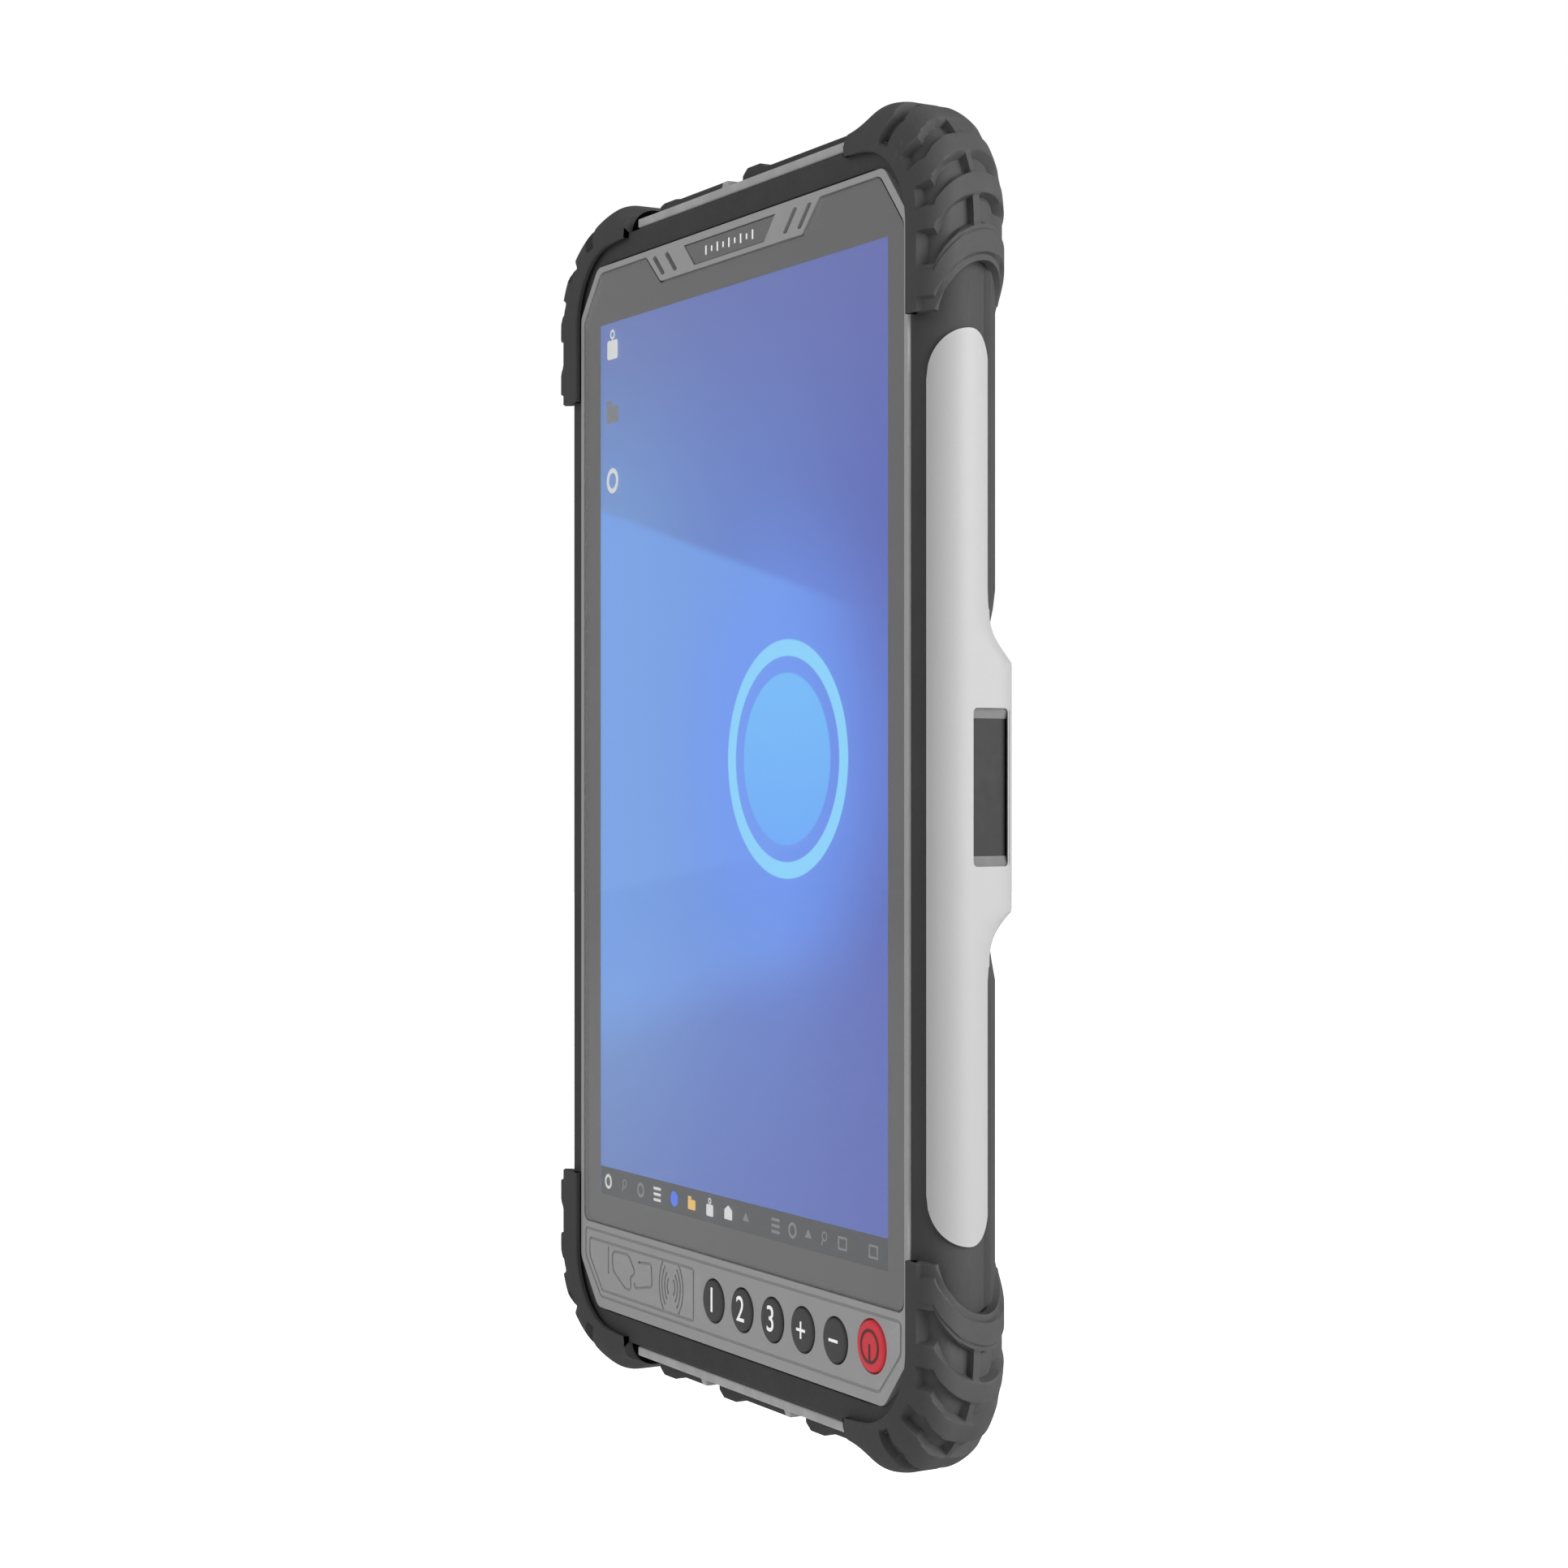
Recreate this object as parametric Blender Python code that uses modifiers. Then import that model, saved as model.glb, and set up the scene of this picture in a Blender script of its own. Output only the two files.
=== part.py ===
"""Rugged 8-inch data collector tablet, standing upright on its lower corner bumpers.

Frame: +X to the right as the user sees the screen, +Y away from the user, +Z up.
The origin is the middle of the footprint, on the surface that the bumpers stand on.
Outlines are drawn in millimetres about the tablet's middle and placed in metres.
"""
import bpy
import bmesh
import math
from mathutils import Vector

MM = 0.001
GAP = 0.3                      # air left between neighbouring pieces

# Overall size
HALF_WIDTH = 70.5              # over the corner bumpers
HALF_HEIGHT = 115.5
BUMPER_FRONT = -9.5
BUMPER_BACK = 7.5
HUMP_BACK = 9.5

# Housing
BODY_LEFT = -67.9
BODY_RIGHT = 66.4              # narrower, the side grip lies outside it
BODY_HALF_HEIGHT = 109.2
BODY_CORNER = 19.0
FRAME_FRONT = -8.0
SEAM = -1.0                    # back of the front frame
BODY_BACK = 6.5
WALL = 2.2
CAVITY_BACK = 3.9
CAVITY_HALF_HEIGHT = 106.0
CHASSIS_HALF_HEIGHT = 100.4    # ends between the upper and lower housing screws
STEP_BACK = 5.0                # lowered strip under the grip's back flange

# Bezel, glass and display
BEZEL_HALF_WIDTH = 61.15
BEZEL_HALF_HEIGHT = 103.1
BEZEL_CUT = (7.5, 9.0)
BEZEL_FRONT = -8.5
BEZEL_BACK = -4.5
GLASS_HALF_WIDTH = 59.65
GLASS_BOTTOM = -86.4
GLASS_TOP = 101.7
GLASS_FRONT = -8.3
GLASS_THICK = 1.1
SHELF = -6.1                   # bezel shelf that carries the gasket
TAB_TOP = 33.0
TAB_FOOT = 27.0
TAB_LOW = 96.2
LCD_HALF_WIDTH = 56.6
LCD_BOTTOM = -82.7
LCD_TOP = 93.8

# Key row
KEY_DIAMETER = 7.6
POWER_DIAMETER = 8.7
KEY_Z = -94.6
POWER_Z = -93.6
KEY_FRONT = -9.0
KEY_SHOULDER = -4.2
KEY_BACK = -3.7
KEY_FLANGE = 0.9               # flange stands out this far behind the bezel
KEYS = {
    "function_key_1": -5.4,
    "function_key_2": 5.4,
    "function_key_3": 16.4,
    "volume_up_key": 27.1,
    "volume_down_key": 38.1,
}
POWER_X = 49.9

# Corner bumpers
BUMPER_START_X = 41.5
BUMPER_START_Z = 77.5
BUMPER_CORNER = 23.0
BUMPER_LIP = 1.2

# Side grip with its scanner hump
GRIP_OUTER = 68.5
GRIP_HALF_LENGTH = 75.0
GRIP_FLANGE_X = 52.5
GRIP_FRONT = -7.5
HUMP_HALF_TOP = 20.5
HUMP_HALF_FOOT = 28.5
HUMP_INNER_X = 40.0
WINDOW_HALF = 13.0
WINDOW_FRONT = -0.5
WINDOW_BACK = 6.7
WINDOW_FLOOR_X = 64.7

# Port covers: name, left end, right end, side of the tablet
COVER_LOW = 109.7
COVER_HIGH = 113.0
COVER_FRONT = -3.2
COVER_REAR = 5.2
HINGE_INSET = 0.8
HINGE_Z = 110.9
PLUG_DEPTH = 1.6
COVERS = (
    ("top_cover_left", -37.0, -10.0, 1),
    ("top_cover_right", -4.0, 39.5, 1),
    ("bottom_cover_left", -37.0, -18.0, -1),
    ("bottom_cover_middle", -13.0, 13.0, -1),
    ("bottom_cover_right", 19.0, 39.5, -1),
)

# Connectors: name, centre x, width, thickness, side of the tablet
CONNECTORS = (
    ("usb_c_port", -28.0, 9.0, 3.2, 1),
    ("audio_jack", -18.5, 5.0, 3.4, 1),
    ("micro_hdmi_port", 9.0, 6.6, 3.0, 1),
    ("micro_usb_port", 26.0, 7.6, 2.6, 1),
    ("memory_card_slot", -27.5, 11.0, 1.9, -1),
    ("docking_connector", 0.0, 13.0, 3.0, -1),
    ("sim_tray", 29.5, 9.0, 1.9, -1),
)

# Battery door and screws
BAY = (-54.0, 12.0, -60.0, 48.0)
DOOR = (-56.0, 14.0, -68.0, 56.0)
DOOR_FRONT = 5.4
DOOR_SCREWS = ((-50.0, -64.2), (8.0, -64.2), (-50.0, 52.2), (8.0, 52.2))
HOUSING_SCREWS = ((-38.0, 103.5), (38.0, 103.5), (-38.0, -103.5),
                  (38.0, -103.5), (-59.5, 64.0), (-59.5, -74.0))
CAMERA_AT = (-45.0, 80.0)
FLASH_AT = (-33.0, 80.0)

FINISHES = {
    "bezel_grey": ((0.21, 0.21, 0.22), 0.55, 0.0),
    "dark_housing": ((0.045, 0.045, 0.048), 0.6, 0.0),
    "bumper_rubber": ((0.06, 0.06, 0.063), 0.75, 0.0),
    "grip_grey": ((0.58, 0.58, 0.58), 0.5, 0.0),
    "trim_grey": ((0.25, 0.25, 0.25), 0.5, 0.0),
    "glass": ((0.10, 0.10, 0.11), 0.08, 0.0),
    "display": ((0.13, 0.22, 0.70), 0.3, 0.0),
    "key_black": ((0.03, 0.03, 0.032), 0.6, 0.0),
    "key_red": ((0.55, 0.03, 0.04), 0.5, 0.0),
    "silicone": ((0.12, 0.12, 0.12), 0.8, 0.0),
    "circuit_green": ((0.02, 0.16, 0.07), 0.5, 0.0),
    "steel": ((0.55, 0.56, 0.57), 0.35, 1.0),
    "magnesium": ((0.42, 0.43, 0.44), 0.5, 1.0),
    "battery_black": ((0.05, 0.05, 0.06), 0.5, 0.0),
    "smoked_window": ((0.02, 0.01, 0.012), 0.1, 0.0),
    "copper": ((0.70, 0.36, 0.20), 0.35, 1.0),
    "lamp": ((0.85, 0.82, 0.70), 0.3, 0.0),
}

for leftover in list(bpy.data.objects):
    bpy.data.objects.remove(leftover)

scene = bpy.context.scene
parts = bpy.data.collections.new("data_collector")
cutters = bpy.data.collections.new("cutters")
scene.collection.children.link(parts)
scene.collection.children.link(cutters)


def finish(name):
    """Material of one named finish, made when it is first asked for."""
    if name in bpy.data.materials:
        return bpy.data.materials[name]
    colour, roughness, metallic = FINISHES[name]
    material = bpy.data.materials.new(name)
    material.use_nodes = True
    shader = material.node_tree.nodes["Principled BSDF"]
    shader.inputs["Base Color"].default_value = (*colour, 1.0)
    shader.inputs["Roughness"].default_value = roughness
    shader.inputs["Metallic"].default_value = metallic
    return material


def add(name, mesh, finish_name=None):
    """Object in the part collection, or a hidden cutter where no finish is given."""
    piece = bpy.data.objects.new(name, mesh)
    if finish_name:
        parts.objects.link(piece)
        mesh.materials.append(finish(finish_name))
    else:
        cutters.objects.link(piece)
        piece.hide_render = True
        piece.display_type = "WIRE"
    return piece


def at(x, y, z):
    """World position of a point given about the tablet's middle, in millimetres."""
    return Vector((x, y, z + HALF_HEIGHT)) * MM


def rounded(corners, steps=4):
    """Closed outline through (x, y, radius) corners, with an arc at each corner."""
    points = []
    for index, (x, y, radius) in enumerate(corners):
        here = Vector((x, y))
        if radius == 0:
            points.append((x, y))
            continue
        back = (Vector(corners[index - 1][:2]) - here).normalized()
        ahead = (Vector(corners[(index + 1) % len(corners)][:2]) - here).normalized()
        half = back.angle(ahead) / 2
        centre = here + (back + ahead).normalized() * radius / math.sin(half)
        first = here + back * radius / math.tan(half) - centre
        last = here + ahead * radius / math.tan(half) - centre
        sweep = math.atan2(first.x * last.y - first.y * last.x, first.dot(last))
        for step in range(steps + 1):
            angle = sweep * step / steps
            turn_x = first.x * math.cos(angle) - first.y * math.sin(angle)
            turn_y = first.x * math.sin(angle) + first.y * math.cos(angle)
            points.append((centre.x + turn_x, centre.y + turn_y))
    return points


TURNS = {"X": (math.pi / 2, 0, math.pi / 2), "Y": (math.pi / 2, 0, 0), "Z": (0, 0, 0)}


def extruded(name, outline, start, end, finish_name=None, along="Y", origin=(0, 0, 0), holes=()):
    """Solid from a closed outline, extruded along one axis from start to end."""
    curve = bpy.data.curves.new(name + "_outline", "CURVE")
    curve.dimensions = "2D"
    curve.fill_mode = "BOTH"
    curve.extrude = (end - start) / 2 * MM
    for loop in (outline, *holes):
        spline = curve.splines.new("POLY")
        spline.points.add(len(loop) - 1)
        for point, (across, up) in zip(spline.points, loop):
            point.co = (across * MM, up * MM, 0, 1)
        spline.use_cyclic_u = True
    guide = bpy.data.objects.new(name + "_outline", curve)
    scene.collection.objects.link(guide)
    bpy.context.view_layer.update()
    mesh = bpy.data.meshes.new_from_object(guide.evaluated_get(bpy.context.evaluated_depsgraph_get()))
    bpy.data.objects.remove(guide)
    bm = bmesh.new()
    bm.from_mesh(mesh)
    bmesh.ops.remove_doubles(bm, verts=bm.verts, dist=1e-6)
    bmesh.ops.recalc_face_normals(bm, faces=bm.faces)
    bm.to_mesh(mesh)
    bm.free()
    piece = add(name, mesh, finish_name)
    middle = [origin[0], origin[1], origin[2]]
    middle["XYZ".index(along)] += (start + end) / 2
    piece.location = at(*middle)
    piece.rotation_euler = TURNS[along]
    return piece


def block(name, x_range, y_range, z_range, finish_name=None, chamfer=0.0):
    """Box between two x, two y and two z values."""
    mesh = bpy.data.meshes.new(name)
    bm = bmesh.new()
    bmesh.ops.create_cube(bm, size=1.0)
    size = [(high - low) * MM for low, high in (x_range, y_range, z_range)]
    bmesh.ops.scale(bm, vec=size, verts=bm.verts)
    bm.to_mesh(mesh)
    bm.free()
    piece = add(name, mesh, finish_name)
    piece.location = at(sum(x_range) / 2, sum(y_range) / 2, sum(z_range) / 2)
    if chamfer:
        bevel(piece, chamfer)
    return piece


def disc(name, x, z, diameter, y_front, y_back, finish_name=None, sides=24):
    """Round piece on an axis along Y."""
    mesh = bpy.data.meshes.new(name)
    bm = bmesh.new()
    bmesh.ops.create_cone(bm, cap_ends=True, segments=sides, radius1=diameter / 2 * MM,
                          radius2=diameter / 2 * MM, depth=(y_back - y_front) * MM)
    bm.to_mesh(mesh)
    bm.free()
    piece = add(name, mesh, finish_name)
    piece.location = at(x, (y_front + y_back) / 2, z)
    piece.rotation_euler = TURNS["Y"]
    smooth(piece)
    return piece


def turned(name, x, z, profile, finish_name, sides=24):
    """Round piece on an axis along Y from a (radius, y) profile, front to back."""
    mesh = bpy.data.meshes.new(name)
    bm = bmesh.new()
    verts = [bm.verts.new((radius * MM, 0, -y * MM)) for radius, y in profile]
    for first, second in zip(verts, verts[1:]):
        bm.edges.new((first, second))
    bm.to_mesh(mesh)
    bm.free()
    piece = add(name, mesh, finish_name)
    piece.location = at(x, 0, z)
    piece.rotation_euler = TURNS["Y"]
    screw = piece.modifiers.new("Turn", "SCREW")
    screw.steps = sides
    screw.render_steps = sides
    screw.use_merge_vertices = True
    screw.merge_threshold = 0.00001
    smooth(piece)
    return piece


def smooth(piece):
    piece.data.shade_smooth()
    piece.data.set_sharp_from_angle(angle=math.radians(35))


def bevel(piece, width, segments=1, angle=50):
    modifier = piece.modifiers.new("Edges", "BEVEL")
    modifier.width = width * MM
    modifier.segments = segments
    modifier.limit_method = "ANGLE"
    modifier.angle_limit = math.radians(angle)
    return modifier


def combine(piece, tool, operation, solver="EXACT"):
    boolean = piece.modifiers.new(operation.title(), "BOOLEAN")
    boolean.operation = operation
    boolean.object = tool
    boolean.solver = solver


def cut(piece, *tools):
    for tool in tools:
        combine(piece, tool, "DIFFERENCE")


def join(piece, *tools):
    for tool in tools:
        combine(piece, tool, "UNION")


def rectangle(left, right, low, high, radius=0.0):
    return rounded([(left, low, radius), (right, low, radius),
                    (right, high, radius), (left, high, radius)], 3)


def body_outline(offset):
    """Outer outline of both housing halves, grown by an offset."""
    radius = BODY_CORNER + offset
    left = BODY_LEFT - offset
    right = BODY_RIGHT + offset
    high = BODY_HALF_HEIGHT + offset
    return rounded([(left, -high, radius), (right, -high, radius),
                    (right, high, radius), (left, high, radius)], 8)


def bezel_outline(offset):
    """Tall rectangle with its four corners cut."""
    wide = BEZEL_HALF_WIDTH + offset
    high = BEZEL_HALF_HEIGHT + offset
    cut_x, cut_z = BEZEL_CUT
    quarter = [(wide, high - cut_z, 2.5), (wide - cut_x, high, 2.5)]
    corners = quarter + [(-x, z, r) for x, z, r in reversed(quarter)]
    corners += [(-x, -z, r) for x, z, r in quarter]
    corners += [(x, -z, r) for x, z, r in reversed(quarter)]
    return rounded(corners, 3)


def glass_outline(offset):
    """Cover glass, cut at its top corners and notched for the bezel's tab."""
    wide = GLASS_HALF_WIDTH + offset
    top = GLASS_TOP + offset
    cut_x, cut_z = BEZEL_CUT
    return rounded([
        (-wide, GLASS_BOTTOM - offset, 1.5), (wide, GLASS_BOTTOM - offset, 1.5),
        (wide, top - cut_z, 2), (wide - cut_x, top, 2),
        (TAB_TOP - offset, top, 0.6), (TAB_FOOT - offset, TAB_LOW + offset, 0.6),
        (-TAB_FOOT + offset, TAB_LOW + offset, 0.6), (-TAB_TOP + offset, top, 0.6),
        (-wide + cut_x, top, 2), (-wide, top - cut_z, 2)], 2)


def nameplate_outline(offset):
    """Blank trapezoid plate on the bezel's tab."""
    return [(-13.1 - offset, 97.5 - offset), (13.1 + offset, 97.5 - offset),
            (17.3 + offset, 101.6 + offset), (-17.3 - offset, 101.6 + offset)]


# ---- Front: bezel, glass, display ----
def build_front():
    bezel = extruded("front_bezel", bezel_outline(0), BEZEL_FRONT, BEZEL_BACK, "bezel_grey")
    pocket = extruded("glass_pocket", glass_outline(GAP), BEZEL_FRONT - 1, SHELF)
    window = block("display_window", (-LCD_HALF_WIDTH - 0.6, LCD_HALF_WIDTH + 0.6),
                   (SHELF - 1, BEZEL_BACK + 1), (LCD_BOTTOM - 0.4, LCD_TOP + 0.4))
    plate_recess = extruded("nameplate_recess", nameplate_outline(GAP), BEZEL_FRONT - 1, -7.7)
    mesh_pocket = block("speaker_pocket", (-31.5, 31.5), (-6.4, BEZEL_BACK + 1), (96.9, 103.5))
    cut(bezel, pocket, window, plate_recess, mesh_pocket)
    for side in (-1, 1):
        for top_x in (29.5, 24.5):
            slot = [(side * (top_x - 0.9), 101.4), (side * (top_x + 0.9), 101.4),
                    (side * (top_x - 3.0), 97.7), (side * (top_x - 4.8), 97.7)]
            cut(bezel, extruded("speaker_slot", slot, BEZEL_FRONT - 1, -6.0))
    for x in KEYS.values():
        cut(bezel, disc("key_hole", x, KEY_Z, KEY_DIAMETER + 0.8, BEZEL_FRONT - 1, BEZEL_BACK + 1))
    cut(bezel, disc("power_hole", POWER_X, POWER_Z, POWER_DIAMETER + 0.8,
                    BEZEL_FRONT - 1, BEZEL_BACK + 1))

    glass_back = GLASS_FRONT + GLASS_THICK
    extruded("cover_glass", glass_outline(0), GLASS_FRONT, glass_back, "glass")
    extruded("glass_gasket", rectangle(-59.3, 59.3, -86.0, 95.8, 3.8), glass_back + GAP,
             glass_back + 0.8, "silicone", holes=(rectangle(-57.7, 57.7, -83.6, 94.5, 2.0),))
    block("lcd_panel", (-LCD_HALF_WIDTH, LCD_HALF_WIDTH), (glass_back + GAP, BEZEL_BACK),
          (LCD_BOTTOM, LCD_TOP), "display")
    extruded("nameplate", nameplate_outline(0), BEZEL_FRONT + 0.1, -8.0, "dark_housing")
    block("speaker_mesh", (-31.0, 31.0), (-6.1, -5.7), (97.3, 101.9), "steel")


# ---- Key row ----
def build_keys():
    caps = [(name, x, KEY_Z, KEY_DIAMETER / 2, "key_black") for name, x in KEYS.items()]
    caps.append(("power_key", POWER_X, POWER_Z, POWER_DIAMETER / 2, "key_red"))
    for name, x, z, radius, colour in caps:
        turned(name, x, z, [(0, KEY_FRONT), (radius - 0.5, KEY_FRONT), (radius, KEY_FRONT + 0.4),
                            (radius, KEY_SHOULDER), (radius + KEY_FLANGE, KEY_SHOULDER),
                            (radius + KEY_FLANGE, KEY_BACK), (0, KEY_BACK)], colour)
    block("keypad_mat", (-11.0, 56.0), (-2.9, -2.5), (-100.2, -88.6), "silicone")
    block("keypad_board", (-11.0, 56.0), (-2.2, -1.9), (-100.2, -88.6), "circuit_green")
    extruded("nfc_antenna", rectangle(-57.0, -14.0, -100.2, -89.2, 1), -3.9, -3.5, "copper",
             holes=(rectangle(-54.0, -17.0, -97.2, -92.2, 1),))


# ---- Housing halves and the chassis between them ----
def scanner_opening(name):
    return block(name, (60.0, 70.0), (-2.2, 8.5), (-15.0, 15.0))


def build_housing():
    frame = extruded("front_frame", body_outline(0), FRAME_FRONT, SEAM, "dark_housing")
    bevel(frame, 0.8)
    back_pocket = rectangle(-63.0, 63.0, -104.0, 104.0, 15)
    cut(frame,
        extruded("bezel_pocket", bezel_outline(GAP), FRAME_FRONT - 1, BEZEL_BACK + GAP),
        extruded("chassis_pocket", back_pocket, -2.4, SEAM + 1),
        block("display_opening", (-52.0, 52.0), (-5.0, 0.0), (-78.0, 90.0)),
        block("keypad_opening", (-58.0, 57.0), (-5.0, 0.0), (-100.5, -88.0)),
        scanner_opening("frame_scanner_opening"))

    chassis = extruded("mid_chassis",
                       rectangle(-62.5, 62.5, -CHASSIS_HALF_HEIGHT, CHASSIS_HALF_HEIGHT, 12),
                       -1.6, -0.7, "magnesium")

    rear = extruded("rear_housing", body_outline(0), SEAM + GAP, BODY_BACK, "dark_housing")
    bevel(rear, 1.5)
    hollow = rectangle(BODY_LEFT + WALL, BODY_RIGHT - WALL,
                       -CAVITY_HALF_HEIGHT, CAVITY_HALF_HEIGHT, 16)
    cut(rear,
        extruded("electronics_hollow", hollow, SEAM - 1, CAVITY_BACK),
        block("flange_step", (GRIP_FLANGE_X - GAP, 75.0), (STEP_BACK, 8.0),
              (-GRIP_HALF_LENGTH - GAP, GRIP_HALF_LENGTH + GAP)),
        block("hump_opening", (42.0, 70.0), (2.0, 8.0), (-17.0, 17.0)),
        scanner_opening("housing_scanner_opening"),
        block("battery_bay", BAY[:2], (2.0, 8.0), BAY[2:]),
        block("door_seat", (DOOR[0] - GAP, DOOR[1] + GAP), (DOOR_FRONT - GAP, 8.0),
              (DOOR[2] - GAP, DOOR[3] + GAP)),
        disc("camera_hole", *CAMERA_AT, 9.2, 2.0, 8.0),
        disc("flash_hole", *FLASH_AT, 4.2, 2.0, 8.0, sides=16))

    for name, left, right, side in COVERS:
        plug = (left + 4.5, right - 6.0)
        levels = sorted((side * (BODY_HALF_HEIGHT + 1), side * (COVER_LOW - PLUG_DEPTH - 0.5)))
        cut(rear, block(name + "_recess", plug, (-0.3, 4.3), levels))
    for name, x, width, thick, side in CONNECTORS:
        mouth = (x - width / 2 + 0.8, x + width / 2 - 0.8)
        levels = sorted((side * 104.2, side * 108.2))
        cut(rear, block(name + "_mouth", mouth, (2.0 - thick / 2 + 0.5, 2.0 + thick / 2 - 0.5), levels))

    # Screw posts in the rear housing, holes in the plates that the screws pass
    for number, (x, z) in enumerate(HOUSING_SCREWS, 1):
        join(rear, disc("screw_post", x, z, 5.6, -0.4, CAVITY_BACK + 1, sides=16))
    for number, (x, z) in enumerate(HOUSING_SCREWS, 1):
        cut(rear, disc("post_hole", x, z, 3.0, -2.0, 8.0, sides=16),
            disc("head_hole", x, z, 5.0, 4.9, 8.0, sides=16))
        if abs(z) < CHASSIS_HALF_HEIGHT:
            cut(chassis, disc("chassis_hole", x, z, 3.0, -3.0, 0.0, sides=16))
        cut(frame, disc("thread_hole", x, z, 3.0, -3.8, 0.0, sides=16))
        turned("housing_screw_%d" % number, x, z,
               [(0, -3.4), (1.2, -3.4), (1.2, 5.2), (2.1, 5.2), (2.1, 6.2), (0, 6.2)],
               "steel", sides=12)
    for x, z in DOOR_SCREWS:
        cut(rear, disc("door_thread", x, z, 3.0, 2.0, 8.0, sides=16))


# ---- Corner bumpers ----
def build_bumpers():
    corners = {"bumper_top_right": (1, 1), "bumper_top_left": (-1, 1),
               "bumper_bottom_left": (-1, -1), "bumper_bottom_right": (1, -1)}
    body_slot = extruded("bumper_slot", body_outline(GAP), FRAME_FRONT - GAP, BODY_BACK + GAP)
    bezel_slot = extruded("bumper_bezel_slot", bezel_outline(0.5), BUMPER_FRONT - 1, FRAME_FRONT + 1)
    for name, (right, up) in corners.items():
        outline = rounded([
            (right * BUMPER_START_X, up * HALF_HEIGHT, 0),
            (right * HALF_WIDTH, up * HALF_HEIGHT, BUMPER_CORNER),
            (right * HALF_WIDTH, up * BUMPER_START_Z, 0),
            (right * 56.0, up * BUMPER_START_Z, 0),
            (right * BUMPER_START_X, up * 97.0, 0)], 9)
        bumper = extruded(name, outline, BUMPER_FRONT, BUMPER_BACK, "bumper_rubber")
        bevel(bumper, BUMPER_LIP)
        cut(bumper, body_slot, bezel_slot)


# ---- Side grip, scan window and scan engine ----
def build_grip():
    section = rounded([
        (66.7, GRIP_FRONT, 0), (67.4, GRIP_FRONT, 0), (GRIP_OUTER, -5.0, 2.5),
        (GRIP_OUTER, 3.0, 3.0), (66.0, 6.6, 2.0), (GRIP_FLANGE_X, 6.6, 0),
        (GRIP_FLANGE_X, STEP_BACK + GAP, 0), (66.7, STEP_BACK + GAP, 0)], 4)
    grip = extruded("side_grip", section, -GRIP_HALF_LENGTH, GRIP_HALF_LENGTH, "grip_grey", "Z")
    hump = extruded("hump_block", [
        (6.0, -HUMP_HALF_FOOT - 1.5), (6.6, -HUMP_HALF_FOOT), (HUMP_BACK, -HUMP_HALF_TOP),
        (HUMP_BACK, HUMP_HALF_TOP), (6.6, HUMP_HALF_FOOT), (6.0, HUMP_HALF_FOOT + 1.5)],
        HUMP_INNER_X, 68.4, along="X")
    hump_foot = block("hump_foot_trim", (30.0, GRIP_FLANGE_X - GAP), (0.0, BODY_BACK + GAP), (-40.0, 40.0))
    hump_hollow = block("hump_hollow", (HUMP_INNER_X + 1.5, 66.0), (0.0, HUMP_BACK - 1.2), (-18.5, 18.5))
    collar = block("window_collar", (WINDOW_FLOOR_X, 68.2), (WINDOW_FRONT - 1.2, WINDOW_BACK + 1.2),
                   (-WINDOW_HALF - 1.5, WINDOW_HALF + 1.5))
    mouth = block("window_mouth", (60.0, 72.0), (WINDOW_FRONT, WINDOW_BACK),
                  (-WINDOW_HALF, WINDOW_HALF))
    bevel(mouth, 1.2, 2)
    join(grip, hump)
    cut(grip, hump_foot, hump_hollow)
    join(grip, collar)
    cut(grip, mouth)
    block("scan_window", (63.2, 64.4), (WINDOW_FRONT - 0.9, WINDOW_BACK + 0.9),
          (-13.8, 13.8), "smoked_window")
    block("scan_engine", (44.0, 62.6), (0.4, 7.8), (-11.0, 11.0), "battery_black", 0.6)


# ---- Trims and hinged port covers ----
def build_edges():
    for name, side in (("top_trim", 1), ("bottom_trim", -1)):
        levels = sorted((side * (BODY_HALF_HEIGHT + GAP), side * 110.8))
        block(name, (-40.2, 40.2), (-6.6, -3.6), levels, "trim_grey", 0.25)
    for name, left, right, side in COVERS:
        hinge_x = right - HINGE_INSET
        start = left - hinge_x
        low = (COVER_LOW - HINGE_Z) * side
        high = (COVER_HIGH - HINGE_Z) * side
        tab = high + 1.0 * side
        outline = [(HINGE_INSET, low), (HINGE_INSET, high), (start + 7.5, high), (start + 6.5, tab),
                   (start + 0.8, tab), (start, high), (start, low)]
        cover = extruded(name, outline, COVER_FRONT, COVER_REAR, "bumper_rubber",
                         origin=(hinge_x, 0, side * HINGE_Z))
        levels = sorted((side * (COVER_LOW + 0.2), side * (COVER_LOW - PLUG_DEPTH)))
        plug = block(name + "_plug", (left + 5.0, right - 6.5), (0.0, 4.0), levels)
        combine(cover, plug, "UNION", "MANIFOLD")


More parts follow.
